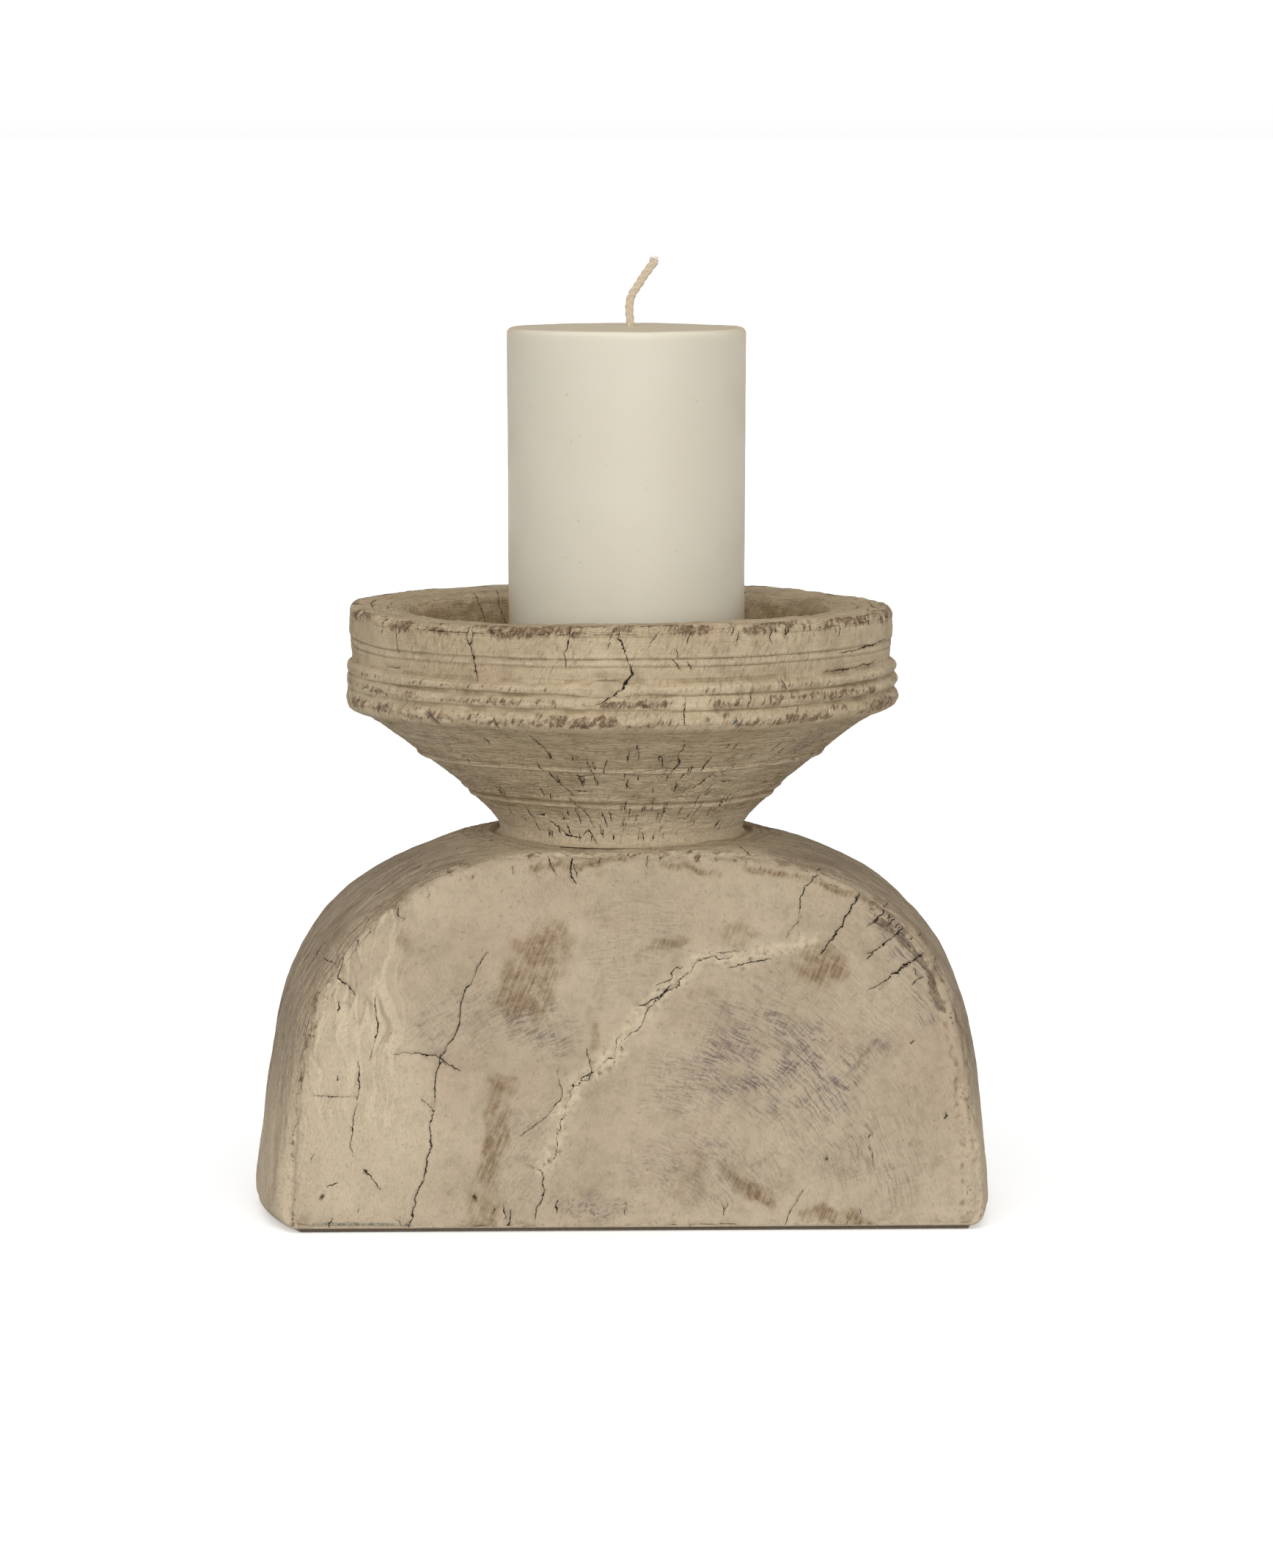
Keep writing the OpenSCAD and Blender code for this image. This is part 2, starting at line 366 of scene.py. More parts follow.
def block_form(across=400, up=200, middle=104, rounds=7):
    """The block's plain surface as a lattice wrapped round it. Gives its points, each side's
    point numbers and chart (its flat coordinates in millimetres), and how far each point is along
    the arch."""
    crown, flank = split_arch(across, up)
    left = flank * [-1, 1, -1, 1, -1]
    ys, pulls, lengths = depth_rows(middle, rounds)
    floor = np.linspace(-flank[0, 0], flank[0, 0], across + 1)
    shape = (across + 1, up + 1, len(ys))
    place = np.zeros(shape + (3,))
    for k, (y, pull) in enumerate(zip(ys, pulls)):
        place[:, -1, k] = outline_row(crown, y, pull)
        place[0, :, k] = outline_row(left, y, pull)
        place[-1, :, k] = outline_row(flank, y, pull)
        place[:, 0, k, 0] = narrowed(floor, y)
        place[:, 0, k, 1] = y
        place[:, 0, k, 2] = BLOCK_LOW[2] + FOOT_LIFT * pull
    for k in (0, -1):
        place[:, :, k] = span(place[:, :, k].copy())

    shell = np.ones(shape, bool)
    shell[1:-1, 1:-1, 1:-1] = False
    number = np.full(shape, -1)
    number[shell] = np.arange(shell.sum())
    sides = {
        "front": (number[:, :, 0], place[:, :, 0][..., [0, 2]]),
        "back": (number[:, :, -1].T, place[:, :, -1][..., [0, 2]].transpose(1, 0, 2)),
        "left": (number[0], np.dstack(np.meshgrid(-flank[:, 4], lengths, indexing="ij"))),
        "right": (number[-1].T, np.dstack(np.meshgrid(flank[:, 4], lengths))),
        "crown": (number[:, -1], np.dstack(np.meshgrid(crown[:, 4], lengths, indexing="ij"))),
        "under": (number[:, 0].T, np.dstack(np.meshgrid(floor, lengths))),
    }
    along = np.zeros(shape)
    along[:, -1] = crown[:, 4][:, None]
    along[0] = -flank[:, 4][:, None]
    along[-1] = flank[:, 4][:, None]
    return place[shell], sides, along[shell]


def lay_out(sides, size):
    """UV maps: OFBake with the sides laid in rows in a unit square that is size millimetres wide,
    and Flow in metres, as the grain needs it."""
    gap = 3.0
    unit, flow, placed, top = [], [], {}, gap
    for row in (("front", "back"), ("crown", "left", "right"), ("under",)):
        x, tallest = gap, 0
        for key in row:
            chart = sides[key][1]
            low = chart.reshape(-1, 2).min(0)
            wide, tall = chart.reshape(-1, 2).max(0) - low
            placed[key] = (chart - low + [x, top]) / size
            x += wide + gap
            tallest = max(tallest, tall)
        top += tallest + gap
    for key, (number, chart) in sides.items():
        cells = grid_quads(np.arange(number.size).reshape(number.shape))
        unit.append(placed[key].reshape(-1, 2)[cells].reshape(-1, 2))
        flow.append(chart.reshape(-1, 2)[cells].reshape(-1, 2) * MM)
    return {"OFBake": np.vstack(unit), "Flow": np.vstack(flow)}


# ---------------------------------------------------------------- block: age

def seams(seed, places, size, thin=0.13):
    """Thin wavy lines, 1 on the line and 0 between, as open grain makes them."""
    return ramp(np.abs(Noise(seed)(places, size)), thin, 0)


# Cracks of the front face: points as (x, z), then width and depth.
FACE_CRACKS = [
    ([(-43, 89), (-50, 77), (-53, 63), (-58, 56), (-60, 47), (-61, 35)], 0.37, 0.9),
    ([(-61, 40), (-61, 27), (-64, 15), (-67, 8), (-68, 1)], 0.49, 1.0),
    ([(-73, 57), (-65, 57), (-58, 56), (-52, 51)], 0.45, 0.8),
    ([(-64, 43), (-60, 39)], 0.34, 0.6),
    ([(-78, 76), (-77, 67), (-80, 55)], 0.34, 0.6),
    ([(-84, 55), (-83, 47), (-84, 42)], 0.34, 0.6),
    ([(-84, 41), (-86, 36), (-85, 24)], 0.22, 0.4),
    ([(-98, 44), (-90, 43), (-84, 43)], 0.26, 0.5),
    ([(-82, 20), (-80, 18), (-77, 14)], 0.40, 0.6),
    ([(-87, 99), (-87, 96), (-84, 93), (-84, 90)], 0.41, 0.8),
    ([(-89, 89), (-90, 81), (-86, 79), (-85, 76)], 0.41, 0.7),
    ([(-72, 104), (-71, 100), (-69, 99)], 0.34, 0.6),
    ([(72.6, 112), (73.5, 109), (73, 106), (69, 100), (65, 93), (61, 88)], 0.55, 0.9),
    ([(60, 113), (56, 109), (55, 105), (54, 98), (50, 93)], 0.37, 0.6),
    ([(105, 95.6), (98, 91.2), (92, 87.5)], 1.15, 1.1),
    ([(94, 88.8), (90.6, 86.5), (83, 81)], 0.75, 0.9),
    ([(88, 84.5), (82, 80), (76, 76.5)], 0.34, 0.5),
    ([(92, 101), (89.4, 97.6), (85.9, 94), (81, 90.8), (76, 88)], 0.55, 0.8),
    ([(91, 103), (87.5, 98.6), (85.5, 96.4)], 0.65, 0.7),
    ([(87, 107), (84.2, 101.7), (82.8, 99.5)], 0.45, 0.5),
    ([(86.4, 101.4), (82.6, 96.6)], 0.40, 0.5),
    ([(84.5, 107), (80.5, 100.5), (76, 96.4)], 0.45, 0.6),
    ([(96.5, 99.5), (91.3, 94.1), (90, 92)], 0.50, 0.6),
    ([(-16, 121), (-17, 113), (-15, 111)], 0.45, 0.8),
    ([(-36, 7), (-37, 0)], 0.37, 0.7),
    ([(56, 13), (53, 8), (49, 0)], 0.30, 0.6),
    ([(33, 84.4), (40, 85), (46, 86.6)], 0.42, 0.6),
    ([(-21, 52), (-20, 44), (-24, 37), (-33, 31)], 0.30, 0.6),
    ([(4, 72), (9, 74), (14, 79)], 0.41, 0.6),
    ([(-14, 47), (-11, 52), (-12, 58)], 0.37, 0.6),
    ([(-31, 22), (-26, 20), (-26, 12), (-29, 2)], 0.26, 0.5),
]
# Where an old split was filled: a low rough ridge down the face.
FILLED_SPLIT = [(58, 92), (46, 90), (37, 88), (24, 88), (18, 81), (9, 74), (0, 63), (-2, 58),
                (-7, 53), (-16, 46), (-19, 36), (-23, 24), (-26, 20)]
# A growth ring along the right shoulder: dark above, thin and brown below. Then brown lines
# under the crown's edge.
DARK_RING = [(78.4, 98.3), (85.9, 94), (90.6, 88.5), (94, 83.7), (96.8, 77.4), (98.8, 70.5)]
BROWN_RING = [(98.8, 70.5), (101.5, 61), (103, 54), (103.5, 45), (105, 34), (106, 28), (106.5, 8)]
CROWN_LINES = [
    [(12, 117), (20, 116), (29, 114)],
    [(38, 114), (48, 113), (60, 111), (72, 107), (84, 101)],
    [(-29, 116), (-12, 117), (0, 118)],
]
# Brown stains as (centre), (radii), turn and strength.
STAINS = [
    ((-28, 84), (8, 16), -28, 1.0),
    ((-31, 72), (9, 8), 0, 0.7),
    ((62, 84), (8, 9), 0, 1.0),
    ((35, 95), (6, 3), 0, 0.6),
    ((-41, 30), (4, 17), -6, 1.1),
    ((-45, 6), (6, 9), 0, 0.7),
    ((-10, 62), (2, 5), 20, 0.8),
    ((-38, 47), (5, 2.5), 0, 0.8),
    ((42, 12), (2.5, 6), 35, 1.2),
    ((35, 15), (2.5, 7), 50, 0.9),
    ((12, 91), (9, 2), 22, 0.8),
    ((68, 4), (14, 3), 0, 1.0),
    ((20, 18), (7, 9), 0, 0.35),
    ((-8, 99), (4, 4), 0, 0.35),
    ((24, 74), (6, 3), 30, 0.35),
    ((-70, 92), (3, 3), 0, 0.35),
]
# Worn, bluish-grey places where the growth rings show as fine scratches.
HAZES = [
    ((-27, 65), (13, 9), -20, 0.8),
    ((47, 57), (25, 18), -30, 0.7),
    ((22, 48), (17, 12), 20, 0.5),
    ((62, 38), (20, 16), -30, 0.4),
    ((-11, 8), (12, 4), 0, 0.8),
    ((22, 20), (24, 12), 0, 0.5),
    ((84, 95), (12, 5), -45, 0.9),
    ((94, 76), (5, 12), 0, 0.6),
    ((-52, 68), (15, 14), 0, 0.45),
    ((75, 54), (4, 12), -42, 0.6),
    ((-32, 24), (14, 20), 0, 0.35),
    ((4, 92), (16, 20), -30, 0.30),
    ((80, 20), (14, 14), 0, 0.30),
    ((66, 52), (44, 52), 0, 0.22),
]
# Places with more limewash: centre, radii and strength.
LIGHT_PLACES = [((-88, 34), (30, 46), 0.5), ((0, 106), (60, 14), 0.25)]
WORM_HOLES = [(-47, 10), (-96, 10), (64, 24)]
GOUGE = [(79, 60), (70, 49)]
TEAL_LINE = [(-98, 2.9), (-68, 2.6)]        # a trace of old paint along the foot
GROWTH_CENTRE = np.array([0.0, -8.0])       # middle of the growth rings


def edge_closeness(points, half_depth):
    """1 on the edge between a face and the arch, 0 from 14 mm away."""
    outline = arch_half()[::8]
    outline = np.vstack([outline * [-1, 1], outline])
    outline = (outline - [0, BLOCK_LOW[2]]) * [1 - FACE_NARROWING, 1 - FACE_LOWERING]
    outline += [FACE_SHIFT, BLOCK_LOW[2]]
    gap = 3 + points[:, 2] - BLOCK_LOW[2]
    for x, z in outline:
        gap = np.minimum(gap, np.hypot(points[:, 0] - x, points[:, 2] - z))
    gap = np.hypot(gap, half_depth - np.abs(points[:, 1]))
    return ramp(gap, 14, 0)


def random_checks(rng, count, box, length, along, lean=0.2):
    """Short cracks at random places of a box on a chart. along is their direction."""
    lines = []
    for _ in range(count):
        start = rng.uniform(box[0], box[1])
        way = np.asarray(along, float) + rng.normal(0, lean, 2)
        whole = way * rng.uniform(*length)
        middle = start + whole * 0.5 + rng.normal(0, 0.06, 2) * np.linalg.norm(whole)
        lines.append(([start, middle, start + whole], rng.uniform(0.22, 0.40),
                      rng.uniform(0.3, 0.6)))
    return lines


def face_cracks(chart, mirror, seed):
    """The drawn cracks and the small ones along the edges. The back has fewer."""
    jag = warp(chart, seed, [(9, 1.0), (3.2, 0.5), (1.5, 0.2)])
    rng = np.random.default_rng(seed)
    small = (random_checks(rng, 12, ((-62, 110), (45, 119)), (2, 6), (0.15, 1), 0.3)
             + random_checks(rng, 12, ((-95, 2), (95, 7)), (2, 5), (0.1, 1), 0.3)
             + random_checks(rng, 4, ((-102, 14), (-86, 90)), (2, 5), (0.2, 1), 0.4)
             + random_checks(rng, 7, ((66, 14), (102, 88)), (2, 5), (0.5, 0.7), 0.4))
    split = np.array(FILLED_SPLIT)
    ragged = [(split[a:b] + step, 0.24, 0.25) for a, b, step in
              ((2, 4, (1.2, 0.2)), (4, 8, (1.5, 0.5)), (9, 13, (0.5, 1.5)), (2, 6, (-0.8, -1.8)),
               (6, 10, (-1.2, -0.8)), (4, 6, (0, 3.5)))]
    rougher = warp(chart, seed + 40, [(7, 2.2), (2.4, 1.0)])
    cracks = Cracks(len(chart))
    for line, width, depth in ragged:
        cracks.draw(rougher, line, width, depth)
    for line, width, depth in (FACE_CRACKS[::2] if mirror else FACE_CRACKS) + small:
        cracks.draw(jag, line, width, depth)
    pit = np.zeros(len(chart))
    for hole in WORM_HOLES:
        pit = np.maximum(pit, ramp(np.hypot(*(rougher - hole).T), 0.8, 0.3))
    return cracks, pit


def growth_rings(chart, seed):
    """Fine ridges along the growth rings of a face."""
    from_centre = chart - GROWTH_CENTRE
    angle = np.arctan2(from_centre[:, 0], from_centre[:, 1])
    polar = np.column_stack([angle * 60, np.hypot(*from_centre.T)])
    return Noise(seed)(flat_places(polar), (34, 1.5, 1))


def filled_ridge(chart, flat, seed):
    """The filled split. Gives its moves, where it is, and its crumbled, light and dark places."""
    ridge = stroke(chart, FILLED_SPLIT, 5.0)
    crumbs = ridge * ramp(Noise(seed + 70)(flat, 1.9), 0.42, 0.75)
    lumps = Noise(seed + 98)(flat, 2.0)
    move = ridge * (0.30 + 0.45 * rough(seed + 60, flat, 2.6)) - 0.7 * crumbs
    return move, ridge, crumbs, ridge * ramp(lumps, 0.0, 0.4), 0.45 * ridge * ramp(-lumps, 0.1, 0.6)


def left_ripples(chart, seed):
    """Wavy lines of thick limewash on the face's left part. Gives moves, light and dark places."""
    bent = warp(chart, seed + 95, [(18, 4.0), (6, 0.8)])
    ripples = Noise(seed + 94)(flat_places(bent), (3.2, 34, 1))
    part = ramp(chart[:, 0], -64, -76) * ramp(chart[:, 1], 22, 48)
    crests = ramp(np.abs(ripples - 0.08), 0.16, 0.02)
    troughs = ramp(np.abs(ripples + 0.12), 0.10, 0.0)
    return (0.14 * ripples + 0.20 * crests) * part, 0.75 * crests * part, 0.7 * troughs * part


def age_face(face, mirror):
    """Moves and masks of a face, from its chart (x, z). The back is the front's own wear, seen
    through other noise, with its cracks mirrored and fewer."""
    seed = 300 if mirror else 200
    chart = face * [-1, 1] if mirror else face
    flat = flat_places(chart)
    spread = warp(chart, seed + 50, [(14, 3.0), (5, 1.6)])
    soft = warp(chart, seed + 80, [(12, 1.6), (2.2, 0.7)])
    grit = rough(seed + 97, flat, 2.4)
    cracks, holes = face_cracks(chart, mirror, seed)
    ridge_move, ridge, crumbs, lumps, gaps = filled_ridge(spread, flat, seed)
    ripple_move, crests, troughs = left_ripples(chart, seed)
    ring = ramp(stroke(soft, DARK_RING, 2.0), 0.1, 0.7) * ramp(grit, -1.2, -0.2)
    gouge = 0.7 * stroke(soft, GOUGE, 1.3) * ramp(grit, -0.5, 0.3)

    stain = sum(s * blot(spread, c, r, t) for c, r, t, s in STAINS) + 1.3 * ring
    stain += sum(1.2 * stroke(soft, line, 1.7) for line in CROWN_LINES)
    stain += 1.1 * stroke(soft, BROWN_RING, 1.2) * ramp(grit, -0.4, 0.4)
    haze = sum(s * blot(spread, c, r, t) for c, r, t, s in HAZES) + 1.2 * ring
    bright = sum(s * blot(spread, c, r) for c, r, s in LIGHT_PLACES)

    move = ridge_move + ripple_move - cracks.depth - 1.6 * holes - 0.3 * ring - 0.7 * gouge
    move += np.clip(haze, 0, 1) * 0.10 * growth_rings(chart, seed + 90)
    move += 0.09 * Noise(seed + 91)(flat, (3.5, 6, 1)) + 0.06 * rough(seed + 92, flat, 1.7, 2)
    move += 0.30 * Noise(seed + 93)(flat, (16, 26, 1))
    return move, cracks, {
        "pit": np.maximum.reduce([holes, 0.5 * crumbs, 0.35 * ring, 0.45 * gouge]),
        "stain": stain, "haze": haze, "filler": ridge, "crest": bright + crests + lumps,
        "hollow": troughs + gaps,
        "teal": 0.8 * stroke(chart, TEAL_LINE, 0.9) * (not mirror)}


def age_side(places, seed):
    """Moves and masks of the arch's side, from (length along the arch, y, 0)."""
    bent = places.copy()
    bent[:, 1] += 2.6 * Noise(seed)(places, (42, 30, 1))
    open_grain = (0.75 * seams(seed + 1, bent, (46, 3.4, 1), 0.16)
                  + 0.5 * seams(seed + 2, bent, (30, 1.9, 1), 0.2))
    open_grain *= ramp(Noise(seed + 3)(places, (26, 16, 1)), -0.45, 0.5)
    move = 0.55 * Noise(seed + 4)(bent, (30, 9, 1)) + 0.16 * rough(seed + 5, bent, (9, 1.8, 1))
    rng = np.random.default_rng(seed)
    jag = warp(places[:, :2], seed + 6, [(6, 0.6), (2, 0.3)])
    end = BLOCK_HIGH[1]
    cracks = Cracks(len(places))
    for line, width, depth in (
            random_checks(rng, 9, ((-120, -end), (190, -end + 4)), (3, 9), (0.12, 1), 0.25)
            + random_checks(rng, 14, ((-190, end - 12), (190, end - 4)), (3, 12), (0.1, 1), 0.25)
            + random_checks(rng, 40, ((-195, -34), (170, 34)), (6, 24), (1, 0.05), 0.08)):
        cracks.draw(jag, line, width, depth)
    stain = 0.5 * ramp(rough(seed + 7, places, (40, 14, 1)), 0.15, 0.9)
    return (move - 0.42 * open_grain - cracks.depth, cracks,
            {"stain": stain, "hollow": open_grain})


def age_crown(points):
    """The turned seat and the rings that the tool left round it, from how far a point is from
    the bowl's axis. Gives moves along Z and a mask of the rings."""
    radius = from_axis(points)
    up = ramp(points[:, 2], BLOCK_HIGH[2] - 14, BLOCK_HIGH[2] - 8)
    dish = ramp(radius, 52, 43) * 0.9
    behind = ramp(points[:, 1], -4, 30) * ramp(radius, 43, 62) * ramp(radius, 110, 62)
    rings = sum(ramp(np.abs(radius - r - 0.25 * Noise(7)(points, 12)), 0.55, 0.1)
                for r in (44.6, 47.2, 50.6))
    move = -(dish + 0.4 * rings) * up - CROWN_FALL * behind * ramp(points[:, 2], 60, 110)
    inside = (radius < SEAT_RADIUS) & (up > 0)
    move[inside] = SEAT_Z - points[inside, 2]
    bore = (radius < TENON_RADIUS + 0.3) & (up > 0)
    move[bore] = BOWL_LOW[2] - 1 - points[bore, 2]
    return move, rings * up * (radius > SEAT_RADIUS + 0.2)


# What the materials read at each point of a wooden piece.
MASKS = ("offset", "near", "pit", "stain", "haze", "teal", "wear", "hollow", "side", "chatter",
         "filler", "crest")


def blank_masks(count):
    masks = {key: np.zeros(count) for key in MASKS}
    masks["offset"] += Cracks.far
    return masks


def lay_age(chosen, weight, age, move, masks):
    """Adds what an age function found at the chosen places to the whole piece's fields."""
    found, cracks, extra = age
    move[chosen] += weight * found
    nearer = (cracks.near > 0) & (weight > 0.3)
    at = np.flatnonzero(chosen)[nearer]
    masks["offset"][at] = cracks.offset[nearer]
    masks["near"][at] = cracks.near[nearer]
    for key, values in extra.items():
        masks[key][chosen] = np.maximum(masks[key][chosen], np.clip(weight * values, 0, 1))


def age_edges(points, along, side, masks):
    """Broken and rubbed edges, and the masks that follow the block's form, with painted light round
    the bowl's seat and low on the flanks. Gives moves.
    """
    edge = edge_closeness(points, BLOCK_HIGH[1])
    broken = edge**3 * ramp(rough(500, points, 9, 4, 0.6), -0.15, 0.75)
    left_bevel = edge**2 * ramp(-points[:, 0], 60, 90) * (points[:, 1] < 0)
    streaky = rough(512, np.column_stack([along, points[:, 1], points[:, 0] / 3]), (12, 1.3, 1.3))
    round_seat = ramp(from_axis(points), 74, 50) * ramp(points[:, 2], 90, 110)
    low_down = ramp(points[:, 2], 62, 22)
    masks["wear"] = 0.8 * edge**2.5 * ramp(streaky, -0.1, 0.8)
    # Round the bowl's seat and low down, fewer dark side fibres and more pale crest: painted light
    # where the crown and the lower flanks lie in shade.
    masks["side"] = side * (1 - 0.75 * np.maximum(round_seat, low_down))
    masks["crest"] = np.maximum(masks["crest"], (side + 0.5 * edge) * np.maximum(
        0.9 * round_seat, 0.6 * low_down))
    masks["hollow"] = masks["hollow"] + 0.3 * broken
    return -1.1 * broken - 0.9 * edge**6 - 1.6 * left_bevel


def build_block():
    """The block: its form, then the ageing of its sides and faces, its edges and its seat."""
    points, sides, along = block_form()
    quads = np.vstack([grid_quads(number) for number, _ in sides.values()])
    normal = normals_of(points, quads)
    facing = ramp(np.abs(normal[:, 1]), 0.55, 0.97)
    under = ramp(-normal[:, 2], 0.18, 0.6)
    front = facing * (points[:, 1] < 0)
    back = facing * (points[:, 1] > 0)
    side = (1 - facing) * (1 - under)

    move = np.zeros(len(points))
    masks = blank_masks(len(points))
    on_side = flat_places(np.column_stack([along, points[:, 1]]))
    on_face = points[:, [0, 2]]
    for weight, age, chart, kind in ((side, age_side, on_side, 400),
                                     (back, age_face, on_face, True),
                                     (front, age_face, on_face, False)):
        chosen = weight > 0.002
        lay_age(chosen, weight[chosen], age(chart[chosen], kind), move, masks)
    move += (1 - under) * age_edges(points, along, side, masks)
    move += (1 - under) * (0.75 * Noise(510)(points, 48) + 0.28 * Noise(511)(points, 17))

    moved = points + normal * move[:, None]
    sink, rings = age_crown(points)
    moved[:, 2] += sink
    masks["hollow"] = np.clip(np.maximum(masks["hollow"], 0.5 * rings), 0, 1)
    moved[:, 2] = np.maximum(moved[:, 2], BLOCK_LOW[2])
    charts = lay_out(sides, 2 * (BLOCK_HIGH[0] - BLOCK_LOW[0]) + 12)
    return make_piece("old_block", moved, [quads], charts, masks)


# ---------------------------------------------------------------- bowl: form

RIM_Z = BOWL_HIGH[2]
BEAD_R = BOWL_HIGH[0]
FLOOR_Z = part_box("pricket_plate")[0].z / MM
TURNS = 840                 # steps round the bowl


def bead(low, high, root, proud=1.0):
    """A low round bump of the band as (radius, z). proud 1 reaches the bowl's full radius."""
    rise = (BEAD_R - root) * proud
    return [(root + rise * math.sin(math.pi * t) ** 0.7, low + (high - low) * t)
            for t in np.linspace(0.03, 0.97, 11)]


def bowl_outline():
    """The bowl's section as (radius, z) from the tenon's end, up the outside, over the rim and
    down to the middle of the floor. Gives rows and the row where rim and hollow begin."""
    tenon = [(1.0, BOWL_LOW[2]), (18.5, BOWL_LOW[2]), (TENON_RADIUS, BOWL_LOW[2] + 2),
             (TENON_RADIUS, SEAT_Z), (40.6, SEAT_Z)]
    cone = [(40.6, SEAT_Z), (39.6, 121.0), (38.8, 122.6), (39.2, 124.4), (41.5, 127.5),
            (44.1, 130.3), (47.4, 133.3), (48.6, 133.9), (49.0, 134.6), (49.1, 135.4),
            (50.7, 136.3), (51.4, 136.9), (51.6, 137.6), (53.6, 139.3), (58.6, 143.2),
            (62.7, 146.4), (64.6, 146.9), (65.2, 147.5), (65.4, 148.4), (67.4, 150.0),
            (72.4, 153.9), (77.5, 157.6), (80.7, 159.6), (82.9, 161.1)]
    band = ([(85.2, 161.6), (86.2, 162.1)] + bead(162.4, 167.9, 86.6)
            + bead(168.4, 172.6, 86.4, 0.85) + bead(173.1, 176.3, 86.2, 0.65) + [(85.6, 176.8)])
    wall = [(85.4, 177.4), (85.7, 180.8), (85.4, 181.3), (85.9, 181.8), (85.9, 183.2),
            (85.5, 183.8), (86.2, 184.3), (86.2, 188.0), (86.2, RIM_Z - 2.2)]
    lip = arc((83.9, RIM_Z - 2.2), 2.3, 0, 80, 8)
    rim = [(80.0, RIM_Z), (74.0, RIM_Z - 0.2), (71.0, RIM_Z - 0.3)]
    hollow = arc((70.8, RIM_Z - 4.3), 4, 90, 145, 8) + [(62.5, 184.0), (54.5, 173.0),
                                                        (48.0, 163.5), (42.6, 156.0)]
    floor = [(42.0, FLOOR_Z), (6.2, FLOOR_Z), (6.0, FLOOR_Z - 1.1), (0.6, FLOOR_Z - 1.1)]
    pieces = (resample(tenon, 3), resample(cone, 0.40)[1:], resample(band, 0.35),
              resample(wall, 0.40), resample(lip + rim, 0.5), resample(hollow, 0.7),
              resample(floor, 2.0))
    counts = np.cumsum([len(p) for p in pieces])
    return np.vstack(pieces), counts


def section_edges(rows):
    """How far each row of a section is a ridge or a groove, both 0 to 1."""
    way = np.diff(rows, axis=0)
    angle = np.unwrap(np.arctan2(way[:, 1], way[:, 0]))
    turn = np.concatenate([[0], np.diff(angle), [0]])
    turn = np.convolve(turn, [0.5, 1, 1, 1, 0.5], "same")
    return ramp(turn, 0.15, 0.9), ramp(turn, -0.15, -0.9)


def lathe(rows, turns):
    """A section turned round the Z axis. Angles run from the back over the left and the front,
    which is 0, to the right and the back. Gives points, their numbers, end caps and a chart."""
    angle = np.linspace(-180, 180, turns + 1)[:-1]
    a = np.radians(angle)[:, None]
    r, z = rows[:, 0][None], rows[:, 1][None]
    points = np.stack([r * np.sin(a), -r * np.cos(a), z + 0 * a], -1).reshape(-1, 3)
    number = np.arange(len(points)).reshape(turns, len(rows))
    number = np.vstack([number, number[:1]])
    caps = np.vstack([fan(len(points), number[::-1][1:, 0]),
                      fan(len(points) + 1, number[:-1, -1])])
    points = np.vstack([points, [[0, 0, rows[0, 1]], [0, 0, rows[-1, 1]]]])
    run = np.concatenate([[0], np.cumsum(np.linalg.norm(np.diff(rows, axis=0), axis=1))])
    chart = np.dstack(np.meshgrid(np.linspace(-180, 180, turns + 1), run, indexing="ij"))
    return points, number, caps, chart


def turned_charts(number, caps, chart, mean_r):
    """UV maps of a turned piece: its unrolled surface in a unit square, and in millimetres."""
    cells = grid_quads(np.arange(number.size).reshape(number.shape))
    metric = chart.reshape(-1, 2)[cells] * [math.radians(1) * mean_r, 1]
    half = math.pi * mean_r
    laid = metric + [half + 2, 2]
    size = max(2 * half, chart[0, -1, 1]) + 8
    spare = np.full((len(caps) * 3, 2), 0.995)
    return {"OFBake": np.vstack([laid.reshape(-1, 2) / size, spare]),
            "Flow": np.vstack([metric.reshape(-1, 2) * MM, spare * 0])}


# ---------------------------------------------------------------- bowl: age

# Cracks of the band: points as (degrees right of the front, z), then width and depth.
BAND_CRACKS = [
    ([(-34.5, 194), (-35.2, 190), (-33.6, 186), (-33.2, 180), (-32.4, 175.5)], 0.37, 0.7),
    ([(-12.0, 194), (-12.6, 188), (-13.2, 186.0), (-12.8, 181)], 0.30, 0.6),
    ([(-1.7, 193), (-2.2, 190), (-0.8, 186.5), (0.8, 179.4), (-1.2, 175.6), (-6.5, 170)],
     0.45, 0.8),
    ([(50.4, 182.2), (58.3, 182.9), (75.0, 184.5)], 0.34, 0.6),
    ([(46, 177.6), (56, 177.4), (68, 178.6)], 0.30, 0.6),
    ([(31, 193), (30.4, 189), (31, 187.2)], 0.30, 0.6),
    ([(22, 193.5), (21.6, 191)], 0.45, 0.6),
    ([(9.5, 186.5), (10, 184)], 0.26, 0.5), ([(9, 183.6), (10.6, 180.4)], 0.30, 0.6),
    ([(12, 183), (13, 180.6)], 0.26, 0.5),
    ([(33, 176), (34, 173)], 0.30, 0.6), ([(26, 174), (24.5, 168)], 0.30, 0.6),
    ([(-28, 166), (-27.4, 162)], 0.34, 0.6), ([(11.5, 172), (11, 163)], 0.30, 0.5),
    ([(-56, 191), (-55, 183)], 0.22, 0.4), ([(-60, 178.2), (-55, 178.4)], 0.26, 0.5),
    ([(-150, 194), (-148, 186), (-149, 176)], 0.45, 0.8),
    ([(128, 194), (130, 188), (127, 178), (129, 171)], 0.41, 0.8),
    ([(165, 193), (163, 186)], 0.34, 0.6), ([(-100, 190), (-112, 187), (-120, 188)], 0.34, 0.6),
    ([(95, 193), (97, 186)], 0.30, 0.6),
]
